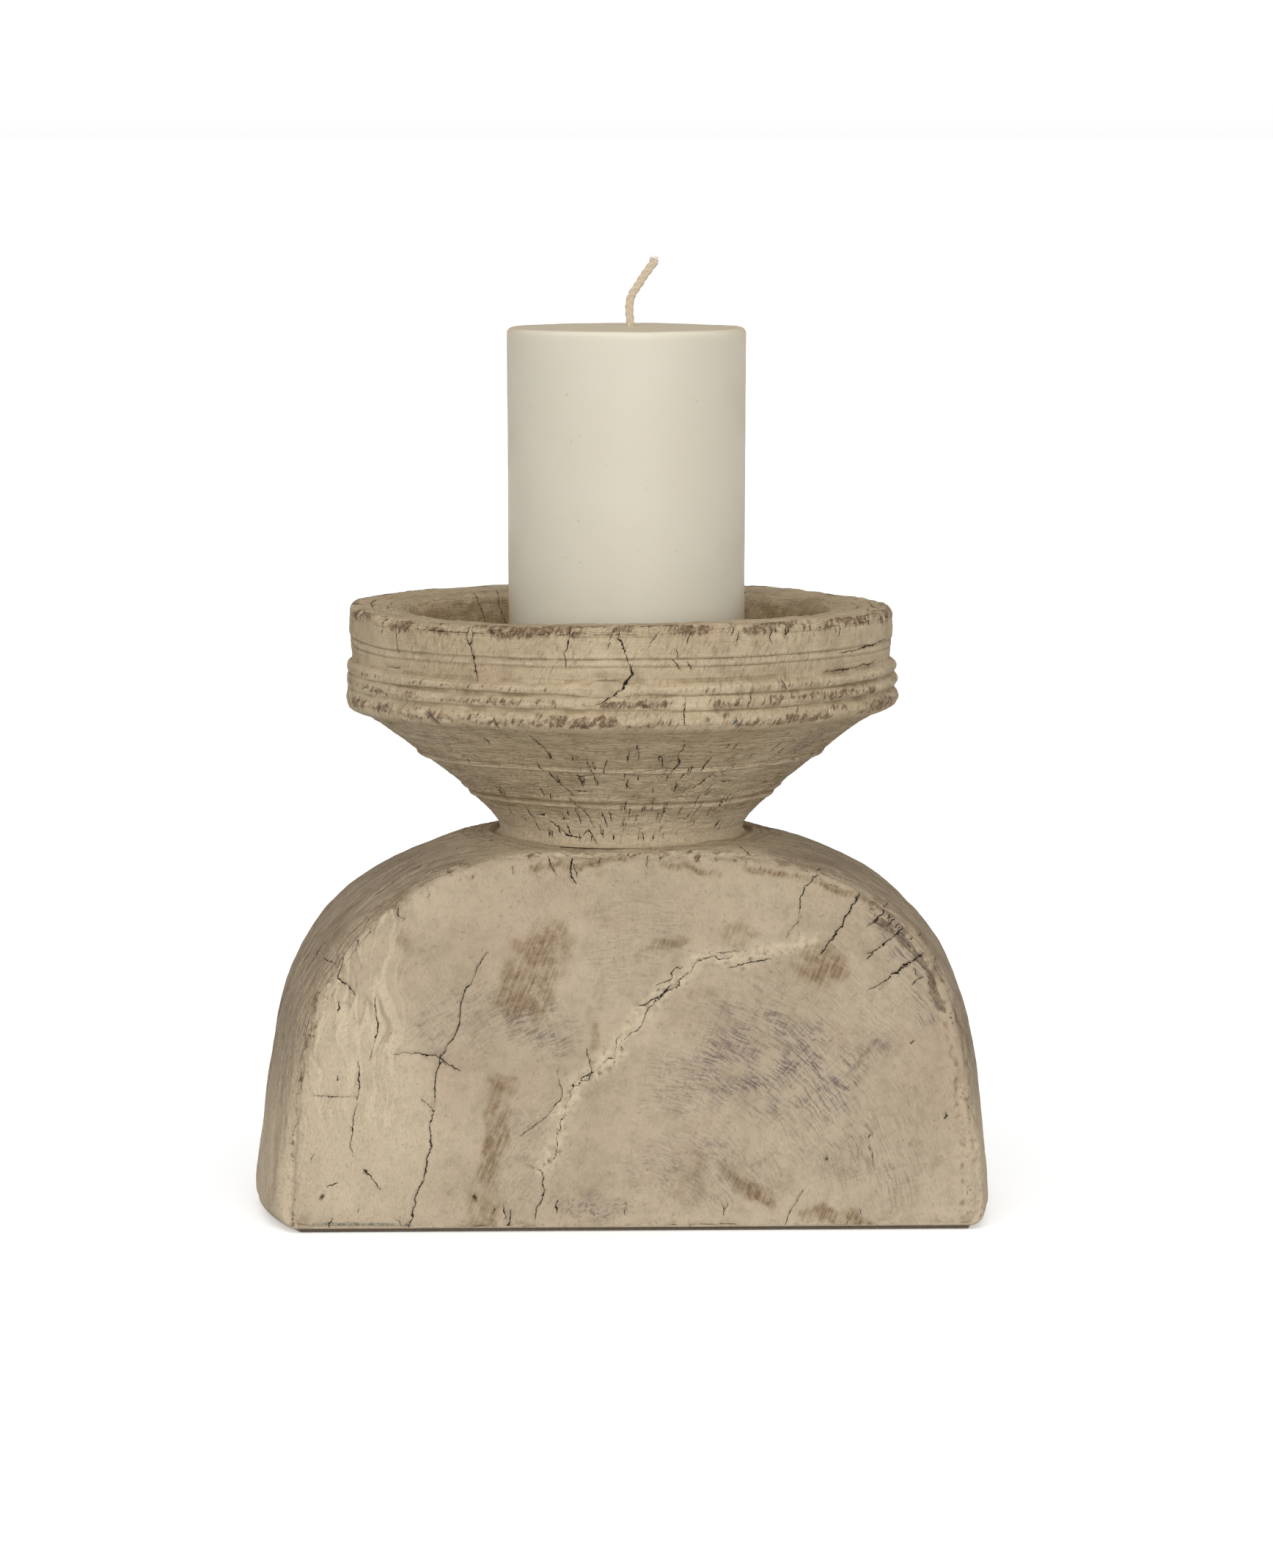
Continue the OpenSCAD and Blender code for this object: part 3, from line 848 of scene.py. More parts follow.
# Cracks of the cone.
CONE_CRACKS = [
    ([(-22, 160), (-20.5, 155), (-19.5, 151)], 0.41, 0.6),
    ([(-24, 148), (-22, 143), (-18, 138)], 0.34, 0.6),
    ([(-20, 137), (-15, 131), (-13, 127)], 0.37, 0.6),
    ([(-9, 132), (-7.6, 127)], 0.34, 0.6), ([(-0.5, 130), (-0.6, 126)], 0.34, 0.6),
    ([(-5, 151.5), (-6.5, 146.5)], 0.41, 0.6), ([(-10, 148), (-9, 143)], 0.37, 0.6),
    ([(13, 153), (14, 150), (12.5, 147)], 0.56, 0.7), ([(22, 152), (21, 147)], 0.41, 0.6),
    ([(8.5, 152.5), (9.5, 149)], 0.37, 0.6), ([(-14.5, 146), (-13.5, 141)], 0.41, 0.6),
    ([(0.4, 144), (0.2, 140.4)], 0.49, 0.6), ([(17, 148), (16.5, 144)], 0.37, 0.6),
    ([(27, 147), (22, 140)], 0.34, 0.6),
    ([(-34, 128), (-28, 124), (-20, 123.4)], 0.49, 0.6),
    ([(-19, 124), (-16, 125.6), (-13, 122)], 0.34, 0.6),
    ([(150, 158), (148, 148), (151, 140)], 0.41, 0.6), ([(-130, 160), (-131, 150)], 0.41, 0.6),
]
# Cracks of the rim and the hollow: points as (degrees, radius).
RIM_CRACKS = [
    ([(-34, 88), (-33, 80), (-35, 72), (-34.5, 68)], 0.34, 0.6),
    ([(-12, 88), (-12.5, 80)], 0.26, 0.5), ([(31, 88), (30, 82)], 0.30, 0.5),
    ([(-112, 79), (-96, 80), (-80, 78.5), (-66, 79.5)], 0.37, 0.6),
    ([(-104, 74), (-90, 74.5), (-78, 73.6)], 0.30, 0.5),
    ([(62, 80), (80, 81), (96, 80), (112, 80.6)], 0.37, 0.6),
    ([(72, 75), (86, 75.6), (101, 75)], 0.30, 0.5),
    ([(142, 71), (144, 64), (141, 56), (143, 45)], 0.60, 0.8),
    ([(143, 64), (149, 58), (152, 50)], 0.37, 0.6), ([(142, 60), (136, 55), (134, 47)], 0.34, 0.6),
    ([(-146, 71), (-144, 62), (-145, 50)], 0.34, 0.6),
    ([(-138, 70), (-136, 60), (-134, 48)], 0.30, 0.6),
    ([(160, 86), (158, 76), (161, 69)], 0.34, 0.6), ([(-168, 84), (-170, 72)], 0.30, 0.6),
    ([(10, 70), (12, 60), (9, 48)], 0.37, 0.6),
]
TEAL_SPECKS = [(21.6, 164.2), (29.4, 164.6)]     # specks of old paint: (degrees, z)
# Smooth places where filler bridges the beads: (degrees, z) and half-sizes in mm.
FILLERS = [((-6.0, 174.8), (14.0, 2.4)), ((12.5, 170.5), (6.5, 4.5)), ((10.5, 167), (4.5, 2.6)),
           ((34, 169), (3.0, 3.0)), ((-140, 170), (9, 7)), ((100, 173), (7, 4))]


class Turned:
    """Charts of some of the bowl's points: angle, radius, z and length along the section."""

    def __init__(self, points, run):
        self.points, self.run = points, run
        self.angle = degrees_round(points)
        self.radius = from_axis(points)
        self.z = points[:, 2]
        self.round = points[:, :2] / np.maximum(self.radius, 1)[:, None] * BEAD_R

    def grain(self, seed, long, thick, bend_by=0.0):
        """Noise drawn out along the turning, with no seam at the back."""
        run = self.run.copy()
        if bend_by:
            run += bend_by * Noise(seed + 1)(np.column_stack([self.round, self.run]), 16)
        return Noise(seed)(np.column_stack([self.round, run]), (long, long, thick))

    def line(self, seed, long, thick, bend_by, width):
        """Wavy lines along the turning, where such noise is 0. 1 is on a line."""
        return ramp(np.abs(self.grain(seed, long, thick, bend_by)), width, 0)

    def patchy(self, size):
        return rough(672, self.points, size)

    def flat(self, level, radius):
        """A flat chart: the angle as millimetres at one radius, and z or the radius."""
        return np.column_stack([np.radians(self.angle) * radius, level])

    def crack(self, lists, level, radius_at):
        """Cracks given as (degrees, level). Each is drawn at the radius it lies at."""
        jag = warp(self.flat(self.run, BEAD_R), 600, [(8, 0.5), (3, 0.25)])
        jag -= self.flat(self.run, BEAD_R)
        cracks = Cracks(len(level))
        for line, width, depth in lists:
            line = np.asarray(line, float)
            radius = radius_at(line[:, 1].mean())
            beside = 2 + np.degrees(2 / radius)
            near = np.flatnonzero((level > line[:, 1].min() - 3) & (level < line[:, 1].max() + 3)
                                  & (self.angle > line[:, 0].min() - beside)
                                  & (self.angle < line[:, 0].max() + beside))
            part = Cracks(len(near))
            chart = np.column_stack([np.radians(self.angle[near]) * radius, level[near]])
            part.draw(chart + jag[near], line * [math.radians(radius), 1], width, depth)
            nearer = np.abs(part.offset) < np.abs(cracks.offset[near])
            cracks.offset[near[nearer]] = part.offset[nearer]
            cracks.near[near] = np.maximum(cracks.near[near], part.near)
            cracks.depth[near] = np.maximum(cracks.depth[near], part.depth)
        return cracks


def cone_radius(z):
    return np.interp(z, [123, 134, 147, 162], [38.8, 48.6, 65, 86])


BAND_RADIUS = 86.5          # of the band, where its cracks are drawn


def age_cone(t):
    """Wavy grain that runs round the cone, short upright cracks, and painted light on the neck."""
    lines = 0.7 * t.line(630, 26, 2.2, 2.4, 0.16) + 0.5 * t.line(633, 17, 1.3, 1.6, 0.2)
    rng = np.random.default_rng(77)
    short = (random_checks(rng, 40, ((-28, 127), (44, 151)), (1.2, 4.2), (0.06, 1), 0.09)
             + random_checks(rng, 26, ((-60, 122.4), (60, 126)), (1, 2.6), (0.06, 1), 0.09)
             + random_checks(rng, 60, ((-180, 125), (180, 158)), (1.5, 5), (0.06, 1), 0.09)
             + random_checks(rng, 12, ((-70, 150), (70, 160)), (1, 3), (0.06, 1), 0.09)
             + random_checks(rng, 26, ((-180, 128), (180, 150)), (2, 6), (1, 0.02), 0.05))
    cracks = t.crack(CONE_CRACKS + short, t.z, cone_radius)
    move = 0.10 * t.grain(636, 30, 3.4, 2.0) + 0.06 * t.grain(638, 12, 0.9)
    move -= 0.22 * lines + cracks.depth
    patches = ramp(t.patchy((11, 11, 5)), -0.15, 0.55)
    haze = blot(t.flat(t.z, BEAD_R), (math.radians(52) * BEAD_R, 154), (7, 4))
    # The neck gets the pale crest tone and no dark grain lines: painted light where the bowl shades
    # it.
    neck = ramp(t.z, 133, 127)
    return move, cracks, {"hollow": 0.45 * lines * (1 - neck), "stain": 0.2 * patches,
                          "haze": haze, "crest": 1.6 * neck}


def age_band(t):
    """The band with its beads, the wall over it and the rim's edge: upright tool marks, fine
    rings, chipped crests and cracks."""
    upright = np.column_stack([t.round + t.z[:, None] * 0.22, t.z * 0.30])
    flutes = Noise(640)(upright, 1.5) * ramp(Noise(641)(t.points, 22), -0.55, 0.25)
    crest = ramp(t.radius, 87.2, 88.3)
    rim_edge = ramp(t.z, 189, 192)
    torn = rough(642, np.column_stack([t.round + t.z[:, None] * 0.4, t.z * 0.5]), 2.6, 3, 0.6)
    chipped = np.clip(crest + rim_edge, 0, 1) * ramp(torn, -0.25, 0.6)
    left_end = ramp(np.abs(t.angle + 90), 50, 20)
    move = 0.20 * flutes - 0.7 * chipped - 1.4 * left_end * ramp(t.radius, 86.5, 88.7)
    move += 0.06 * t.grain(643, 34, 1.0) + 0.08 * t.grain(644, 22, 2.6, 1)

    soft = warp(t.flat(t.z, BEAD_R), 650, [(5, 1.2)])
    filler = np.zeros(len(t.z))
    for (degrees, z), size in FILLERS:
        filler = np.maximum(filler, blot(soft, (math.radians(degrees) * BEAD_R, z), size))
    level = 87.5 + 0.25 * Noise(651)(t.points, 6)
    move = move * (1 - 0.9 * filler) + filler * (level - t.radius)

    rng = np.random.default_rng(78)
    edge = random_checks(rng, 40, ((-180, 186.5), (180, 191)), (1.5, 4), (0.1, 1), 0.25)
    cracks = t.crack(BAND_CRACKS + edge, t.z, lambda _: BAND_RADIUS)
    gouge = stroke(soft, [(-68.8, 165.6), (-66.2, 162.6)], 1.8)
    move -= cracks.depth + 1.2 * gouge
    specks = [blot(soft, (math.radians(a) * BEAD_R, z), (1.1, 0.8)) for a, z in TEAL_SPECKS]
    patches = ramp(t.patchy((14, 14, 6)), -0.35, 0.45)
    worn = np.clip(0.85 * crest + ramp(t.z, 188.5, 191.5), 0, 1) * patches * (1 - filler)
    hollow = 0.4 * ramp(-flutes, 0.2, 0.9) + 0.2 * ramp(t.radius, 87.0, 86.5) * (t.z < 176)
    return move, cracks, {"wear": worn, "hollow": hollow * (1 - filler), "pit": 0.8 * gouge,
                          "teal": np.maximum(*specks),
                          "chatter": (1 - 0.8 * filler) * ramp(Noise(641)(t.points, 22), -0.7, 0.2)}


def age_rim(t):
    """The rim's flat top and the hollow inside it."""
    inside = ramp(t.z, RIM_Z - 1.5, RIM_Z - 5)
    grain = t.line(660, 30, 2.4, 1.4, 0.14)
    across = ramp(np.abs(np.sin(np.radians(t.angle))), 0.3, 1.0)
    move = (1 - inside) * (0.28 * rough(661, t.points, 7) - 0.35 * grain * across)
    deep = t.line(664, 20, 2.0, 2.0, 0.14)
    move += inside * (0.35 * rough(662, t.points, (9, 9, 4)) - 0.30 * deep)
    rng = np.random.default_rng(79)
    sunk = random_checks(rng, 40, ((-180, 45), (180, 68)), (2, 8), (0.6, 1), 0.6)
    cracks = t.crack(RIM_CRACKS + sunk, t.radius, float)
    hollow = np.maximum(0.5 * grain * (1 - inside), 0.6 * inside)
    stain = 0.2 * ramp(t.radius, 76, 72) + 0.35 * inside
    patches = ramp(t.patchy((11, 11, 5)), -0.15, 0.55)
    worn = ramp(t.radius, 81, 84) * patches
    return move - cracks.depth, cracks, {"hollow": hollow, "stain": stain, "wear": worn}


def build_bowl():
    """The bowl: its turned form, then the ageing of its cone, band and rim."""
    rows, counts = bowl_outline()
    points, number, caps, chart = lathe(rows, TURNS)
    quads = grid_quads(number)
    normal = normals_of(points, quads)
    normal[-2:] = [[0, 0, -1], [0, 0, 1]]
    part = np.tile(np.searchsorted(counts, np.arange(len(rows)), "right"), TURNS)
    part = np.concatenate([part, [0, 6]])
    run = np.concatenate([np.tile(chart[0, :, 1], TURNS), [0, chart[0, -1, 1]]])
    radius = from_axis(points)
    tenon, cone, band, wall, rim, hollow, floor = (part == i for i in range(7))
    seen = ~(tenon | floor)

    move = seen * (0.55 * Noise(620)(points, 52) + 0.22 * Noise(621)(points, 19))
    masks = blank_masks(len(points))
    # No dark side fibres on the neck, below z 124 to 130: part of the painted light there.
    masks["side"] = (cone * ramp(points[:, 2], 124, 130) + 0.2 * (band | wall) + 0.55 * rim
                     + 0.7 * hollow)
    ridge, groove = (np.concatenate([np.tile(e, TURNS), [0, 0]]) for e in section_edges(rows))
    come_and_go = ramp(rough(675, points, 13), -0.5, 0.35)
    # Pale along the section's ridges of the cone and band: a painted highlight.
    masks["crest"] = ridge * (0.9 * cone + 0.5 * come_and_go * (band | wall))
    edge = rim & (radius > 84.6)
    for chosen, age in ((cone, age_cone), (band | wall | edge, age_band),
                        ((rim & ~edge) | hollow, age_rim)):
        turned = Turned(points[chosen], run[chosen])
        lay_age(chosen, np.ones(chosen.sum()), age(turned), move, masks)

    # Darker along the section's grooves of the cone and band: painted shade.
    grime_and_shade = groove * (0.8 * cone + 0.6 * come_and_go * (band | wall))
    masks["hollow"] = np.clip(masks["hollow"] + grime_and_shade, 0, 1)
    moved = points + normal * move[:, None]
    # The rim is not quite level, and its left end curls up.
    angle = degrees_round(points)
    lift = ramp(points[:, 2], 133.92, 153.6) * (rim | wall | hollow)
    left_end = ramp(np.abs(angle + 88), 32, 5) * ramp(radius, 78, 83)
    wave = 0.45 * np.sin(np.radians(2 * angle + 40)) + 0.35 * Noise(670)(points, 34)
    moved[:, 2] += lift * (wave + left_end)
    charts = turned_charts(number, caps, chart, 80)
    return make_piece("old_bowl", moved, [quads, caps], charts, masks)


# ---------------------------------------------------------------- candle

SHOULDER_ROUND = 1.7        # rounding of the candle's upper edge
SHOULDER_DROP = 2.2         # where it begins, below the top


def candle_outline():
    """The candle's section from the top of the spike's hole down, out over its foot, up the side
    and in over the top."""
    low, high = CANDLE_LOW[2], CANDLE_HIGH[2]
    foot_r = (CANDLE_HIGH[0] - CANDLE_LOW[0]) / 2 - 0.5
    top_r = foot_r + 0.5
    hole_r, point_length, foot_edge = 2.68, 9, 0.8
    hole = [(0.3, SPIKE_TOP + 0.4), (hole_r, SPIKE_TOP - point_length), (hole_r, low)]
    foot = [(hole_r, low), (foot_r - foot_edge, low), (foot_r, low + foot_edge)]
    side = [(foot_r, low + foot_edge), (top_r, high - SHOULDER_DROP)]
    shoulder = [(top_r - SHOULDER_ROUND * (1 - math.cos(a)),
                 high - SHOULDER_DROP + SHOULDER_ROUND * math.sin(a))
                for a in np.radians([15, 30, 45, 60, 75, 90])]
    top = [(31, high - 0.25), (22, high - 0.1), (10, high), (3, high), (0.5, high)]
    return np.vstack([resample(hole, 2.0), resample(foot, 1.5)[1:], resample(side, 1.2)[1:],
                      resample(side[-1:] + shoulder, 0.3)[1:],
                      resample(shoulder[-1:] + top, 0.9)[1:]])


def build_candle():
    """The candle: a turned form with a faintly uneven skin and a dip round the wick."""
    rows = candle_outline()
    points, number, caps, chart = lathe(rows, 256)
    quads = grid_quads(number)
    normal = normals_of(points, quads)
    normal[-2:] = [[0, 0, -1], [0, 0, 1]]
    radius = from_axis(points)
    skin = ramp(radius, 8, 14)
    shoulder = CANDLE_HIGH[2] - SHOULDER_DROP
    on_top = ramp(points[:, 2], shoulder, shoulder + 1)
    move = skin * (0.10 * Noise(700)(points, 46) + 0.05 * Noise(701)(points, 14) - 0.12)
    move += on_top * (0.14 * Noise(702)(points, 20) + 0.06 * Noise(703)(points, 5) - 0.15)
    moved = points + normal * move[:, None]
    moved[:, 0] += CANDLE_X
    top_centre = np.hypot(points[:, 0] - WICK_X + CANDLE_X, points[:, 1])
    moved[:, 2] -= on_top * 0.35 * ramp(top_centre, 6, 1.5)
    charts = turned_charts(number, caps, chart, 38)
    return make_piece("pillar_candle", moved, [quads, caps], charts)


# ---------------------------------------------------------------- wick

WICK_RADIUS = (WICK_HIGH[1] - WICK_LOW[1]) / 2
WICK_X = WICK_LOW[0] + WICK_RADIUS
WICK_RISE = 6.5             # how far it stands upright
WICK_BEND = 8.0             # radius of its bend
WICK_LEAN = math.radians(34)
WICK_TIP = 11.5             # length of its leaning part


def wick_path(step=0.3):
    """Points, tangents and side vectors along the wick, from its end in the wax to its tip."""
    top = CANDLE_HIGH[2]
    upright = [(0, WICK_LOW[2] - top), (0, WICK_RISE)]
    turned = [(WICK_BEND * (1 - math.cos(t)), WICK_RISE + WICK_BEND * math.sin(t))
              for t in np.linspace(0, WICK_LEAN, 12)]
    end = (turned[-1][0] + WICK_TIP * math.sin(WICK_LEAN),
           turned[-1][1] + WICK_TIP * math.cos(WICK_LEAN))
    line = resample(upright + turned[1:] + [end], step)
    points = np.column_stack([WICK_X + line[:, 0], np.zeros(len(line)), top + line[:, 1]])
    free = ramp(line[:, 1], 0.00, 1.3)
    points[:, 0] += free * 0.35 * Noise(720)(points, 6)
    points[:, 1] += free * 0.25 * Noise(721)(points, 7)
    along = np.gradient(points, axis=0)
    along /= np.linalg.norm(along, axis=1, keepdims=True)
    side = np.cross([0.0, 1.0, 0.0], along)
    side /= np.linalg.norm(side, axis=1, keepdims=True)
    return points, along, side


def tube(path, radii, sides):
    """Points and polygons of a round tube along a path, closed at both ends."""
    along = np.gradient(path, axis=0)
    along /= np.maximum(np.linalg.norm(along, axis=1, keepdims=True), 1e-9)
    across = np.cross(along, [0.31, 0.93, 0.17])
    across /= np.linalg.norm(across, axis=1, keepdims=True)
    up = np.cross(along, across)
    turn = np.linspace(0, 2 * math.pi, sides, endpoint=False)
    ring = (across[:, None] * np.cos(turn)[None, :, None]
            + up[:, None] * np.sin(turn)[None, :, None])
    points = path[:, None] + ring * np.asarray(radii)[:, None, None]
    number = np.arange(points.shape[0] * sides).reshape(-1, sides)
    quads = grid_quads(np.hstack([number, number[:, :1]]))
    caps = np.vstack([fan(number.size, number[0]), fan(number.size + 1, number[-1][::-1])])
    return np.vstack([points.reshape(-1, 3), path[:1], path[-1:]]), quads, caps


def join(parts):
    """One list of points and polygons from several tubes."""
    points, quads, caps, count = [], [], [], 0
    for p, q, c in parts:
        points.append(p)
        quads.append(q + count)
        caps.append(c + count)
        count += len(p)
    return np.vstack(points), [np.vstack(quads), np.vstack(caps)]


def build_wick():
    """A flat braid of three strands. Its cut end is a tuft of loose fibres."""
    points, along, side = wick_path()
    depth = np.array([0.0, 1.0, 0.0])
    run = np.arange(len(points)) * 0.3
    from_end = run[-1] - run
    splay = 1 + 0.35 * ramp(from_end, 2.2, 0)
    pitch, wide, thick, strand = 7.0, 0.60, 0.22, 0.80
    parts = []
    rng = np.random.default_rng(730)
    for k in range(3):
        phase = 2 * math.pi * (run / pitch + k / 3)
        path = (points + side * (wide * splay * np.sin(phase))[:, None]
                + depth * (thick * splay * np.sin(2 * phase))[:, None])
        uneven = 1 + 0.10 * Noise(740 + k)(path, 1.6)
        parts.append(tube(path, strand * uneven, 12))
    tip, way = points[-1], along[-1]
    for _ in range(46):
        out = rng.normal(0, 1, 3)
        start = tip - way * 0.8 + out * [0.5, 0.4, 0.5]
        length = rng.uniform(0.8, 1.7)
        steps = np.linspace(0, 1, 5)[:, None]
        hair = start + (way + out * 0.22) * length * steps + rng.normal(0, 0.10, 3) * steps**2
        parts.append(tube(hair, np.linspace(0.075, 0.03, 5), 5))
    loose = rng.integers(int(len(points) * 0.8), len(points) - 4, 34)
    for i in loose:
        out = rng.normal(0, 1, 3)
        start = points[i] + side[i] * rng.choice([-1, 1]) * 1.15 + depth * rng.normal(0, 0.3)
        steps = np.linspace(0, 1, 4)[:, None]
        hair = start + (along[i] * 0.8 + out * 0.4) * rng.uniform(0.4, 1.0) * steps
        parts.append(tube(hair, np.linspace(0.035, 0.02, 4), 4))
    points, polygons = join(parts)
    return make_piece("braided_wick", points, polygons)


# ---------------------------------------------------------------- felt

FELT_INSET = 2.0            # how far the felt stays inside the block's widest outline
FELT_TRIM = 3.5             # and how much more at its ends, where the foot is round


def build_felt():
    """The felt under the block: an outline with soft edges, a little uneven."""
    half_w, half_d = BLOCK_HIGH[0], FELT_HIGH[1]
    thick = FELT_HIGH[2] - FELT_LOW[2]
    y = np.linspace(-half_d, half_d, 120)
    t = y / half_d
    x = half_w * (1 - FACE_NARROWING * t * t) - FELT_INSET - FELT_TRIM
    left, right = FACE_SHIFT * t * t - x, FACE_SHIFT * t * t + x
    front = np.column_stack([np.linspace(left[0], right[0], 280), np.full(280, -half_d)])
    outline = np.vstack([front[:-1], np.column_stack([right, y])[:-1],
                         front[::-1][:-1] * [1, -1], np.column_stack([left, y])[::-1][:-1]])
    section = [(0.93, 0.0), (0.995, 0.0), (0.9985, 0.18), (1.0, 0.5), (0.9985, 0.82), (0.995, 1.0),
               (0.93, 1.0)]
    rings = [np.column_stack([outline * inset, np.full(len(outline), FELT_LOW[2] + thick * up)])
             for inset, up in section]
    points = np.stack(rings, 1)
    flat = points.reshape(-1, 3)
    ragged = 1 + 0.0022 * Noise(760)(flat, 3.0)
    flat[:, :2] *= np.where(np.abs(flat[:, 2] - thick / 2) < thick * 0.4, ragged, 1)[:, None]
    number = np.arange(len(flat)).reshape(len(outline), len(section))
    quads = grid_quads(np.vstack([number, number[:1]]))
    caps = np.vstack([fan(len(flat), number[::-1, 0]), fan(len(flat) + 1, number[:, -1])])
    points = np.vstack([flat, [[0, 0, FELT_LOW[2]], [0, 0, FELT_HIGH[2]]]])
    return make_piece("felt_sheet", points, [quads, caps])


# ---------------------------------------------------------------- materials

def srgb(red, green, blue):
    """A colour as a screen shows it, 0 to 255, as linear light."""
    parts = [c / 255 for c in (red, green, blue)]
    return [c / 12.92 if c <= 0.04045 else ((c + 0.055) / 1.055) ** 2.4 for c in parts] + [1.0]


WOOD, WARM_WOOD = srgb(126, 102, 76), srgb(134, 108, 73)
BARE_WOOD = srgb(142, 112, 84), srgb(96, 73, 55)
PALE = srgb(226, 208, 177)
BROWN_STAIN, GREY_HAZE = srgb(126, 98, 58), srgb(116, 104, 101)
OLD_PAINT, CRACK_DARK = srgb(74, 104, 106), srgb(36, 27, 18)


class Finish:
    """A procedural material and the few kinds of node that it is made of."""

    def __init__(self, name):
        self.material = bpy.data.materials.new(name)
        self.material.use_nodes = True
        self.tree = self.material.node_tree
        self.shader = self.tree.nodes["Principled BSDF"]
        self.spot = self.tree.nodes.new("ShaderNodeTexCoord").outputs["Object"]

    def feed(self, socket, value):
        """Gives a socket a value, or a link to where its value comes from."""
        if isinstance(value, bpy.types.NodeSocket):
            self.tree.links.new(value, socket)
        else:
            socket.default_value = value

    def put(self, node, key, value):
        self.feed(node.inputs[key], value)

    def add(self, kind, values=(), **settings):
        node = self.tree.nodes.new("ShaderNode" + kind)
        for key, value in settings.items():
            setattr(node, key, value)
        for key, value in dict(values).items():
            self.put(node, key, value)
        return node

    def noise(self, size, detail=4.0, rough=0.55, spot=None, bent=0.0):
        """Cloudy noise from 0 to 1. size is a lump's size in millimetres."""
        values = {"Vector": spot or self.spot, "Scale": 1 / (size * MM), "Detail": detail,
                  "Roughness": rough, "Distortion": bent}
        return self.add("TexNoise", values).outputs["Fac"]

    def offset_spot(self, distance):
        """The same places moved, so that two noises of a material don't look alike."""
        return self.add("VectorMath", {0: self.spot, 1: (distance, distance, distance)}).outputs[0]

    def stretched(self, along, across, offset=0.0, wave=0.0, turn=0.0):
        """The flat chart of a wooden piece in metres, turned by some degrees and drawn out. wave
        is how far its lines wander, in millimetres. Noise on it has size 1 m."""
        chart = self.add("UVMap", uv_map="Flow").outputs["UV"]
        wander = self.ramp(self.noise(17, 3), 0.2, 0.8, -wave * MM / 2, wave * MM / 2)
        aside = self.add("CombineXYZ", {"Y": wander}).outputs[0]
        bent = self.add("VectorMath", {0: chart, 1: aside}).outputs[0]
        turned = self.add("Mapping", {"Vector": bent, "Location": (offset, offset, 0),
                                      "Rotation": (0, 0, -math.radians(turn))}).outputs["Vector"]
        scale = (1 / (along * MM), 1 / (across * MM), 1)
        return self.add("VectorMath", {0: turned, 1: scale}, operation="MULTIPLY").outputs[0]

    def ramp(self, value, low, high, start=0.0, stop=1.0):
        values = {"Value": value, "From Min": low, "From Max": high, "To Min": start,
                  "To Max": stop}
        return self.add("MapRange", values, interpolation_type="SMOOTHSTEP").outputs["Result"]

    def maths(self, operation, a, b=0.0):
        return self.add("Math", {0: a, 1: b}, operation=operation).outputs[0]

    def product(self, *values):
        total = values[0]
        for value in values[1:]:
            total = self.maths("MULTIPLY", total, value)
        return total

    def mask(self, name):
        return self.add("Attribute", attribute_name=name).outputs["Fac"]

    def mix(self, factor, a, b):
        node = self.add("Mix", {"Factor": factor}, data_type="RGBA", clamp_factor=True)
        for socket, value in zip((s for s in node.inputs if s.type == "RGBA"), (a, b)):
            self.feed(socket, value)
        return next(s for s in node.outputs if s.type == "RGBA")

    def bump(self, height, distance, normal=None, strength=1.0):
        values = {"Height": height, "Distance": distance * MM, "Strength": strength}
        if normal:
            values["Normal"] = normal
        return self.add("Bump", values).outputs["Normal"]

    def finish(self, **values):
        names = {"color": "Base Color", "rough": "Roughness", "normal": "Normal",
                 "metal": "Metallic", "specular": "Specular IOR Level"}
        for key, value in values.items():
            self.put(self.shader, names[key], value)
        return self.material


def chalk_tones(f, tones):
    """Mottled limewash: two light tones in clouds, a dull one in patches, pink and pores."""
    light, middle, dull, pink = tones
    fine = f.noise(5, 7, 0.62)
    color = f.mix(f.ramp(f.noise(42, 5, 0.6), 0.35, 0.68), middle, light)
    color = f.mix(f.ramp(f.noise(30, 4, 0.6, f.offset_spot(0.31)), 0.52, 0.72, 0, 0.6), color, pink)
    color = f.mix(f.ramp(f.noise(15, 7, 0.7, f.offset_spot(0.17)), 0.48, 0.70, 0, 0.6), color, dull)
    color = f.mix(f.ramp(fine, 0.44, 0.70, 0.0, 0.38), color, dull)
    slanted = f.add("Mapping", {"Vector": f.spot, "Rotation": (0, 0.7, 0), "Scale": (1, 1, 0.4)})
    grit = f.noise(0.55, 5, 0.8, slanted.outputs[0])
    color = f.mix(f.ramp(grit, 0.52, 0.70, 0.0, 0.28), color, WOOD)
    color = f.mix(f.ramp(grit, 0.47, 0.30, 0.0, 0.34), color, PALE)
    return color, fine, grit


def grain_lines(f, pitch, wander, length):
    """Thin lines that run along the grain like contours, and come and go. 1 is on a line."""
    chart = f.add("UVMap", uv_map="Flow").outputs["UV"]
    across = f.add("SeparateXYZ", {0: chart}).outputs["Y"]
    hills = f.noise(1000, 3, 0.5, f.stretched(24, 9, 0.4), 0.0)
    ripple = f.noise(1000, 3, 0.6, f.stretched(7, 3.0, 0.9), 0.0)
    phase = f.maths("ADD", f.maths("MULTIPLY", across, 2 * math.pi / (pitch * MM)),
                    f.maths("ADD", f.maths("MULTIPLY", hills, wander),
                            f.maths("MULTIPLY", ripple, wander * 0.15)))
    line = f.ramp(f.maths("SINE", phase), 0.40, 0.98)
    fade = f.ramp(f.noise(1000, 4, 0.65, f.stretched(length, 2.2, 0.7), 0.0), 0.38, 0.60)
    return f.product(line, fade)


def long_fibres(f, end_grain):
    """Grain lines of the sides, coarse and thin."""
    if end_grain:
        return grain_lines(f, 1.5, 22, 11), grain_lines(f, 0.8, 18, 11)
    return grain_lines(f, 1.7, 62, 24), grain_lines(f, 0.9, 50, 20)


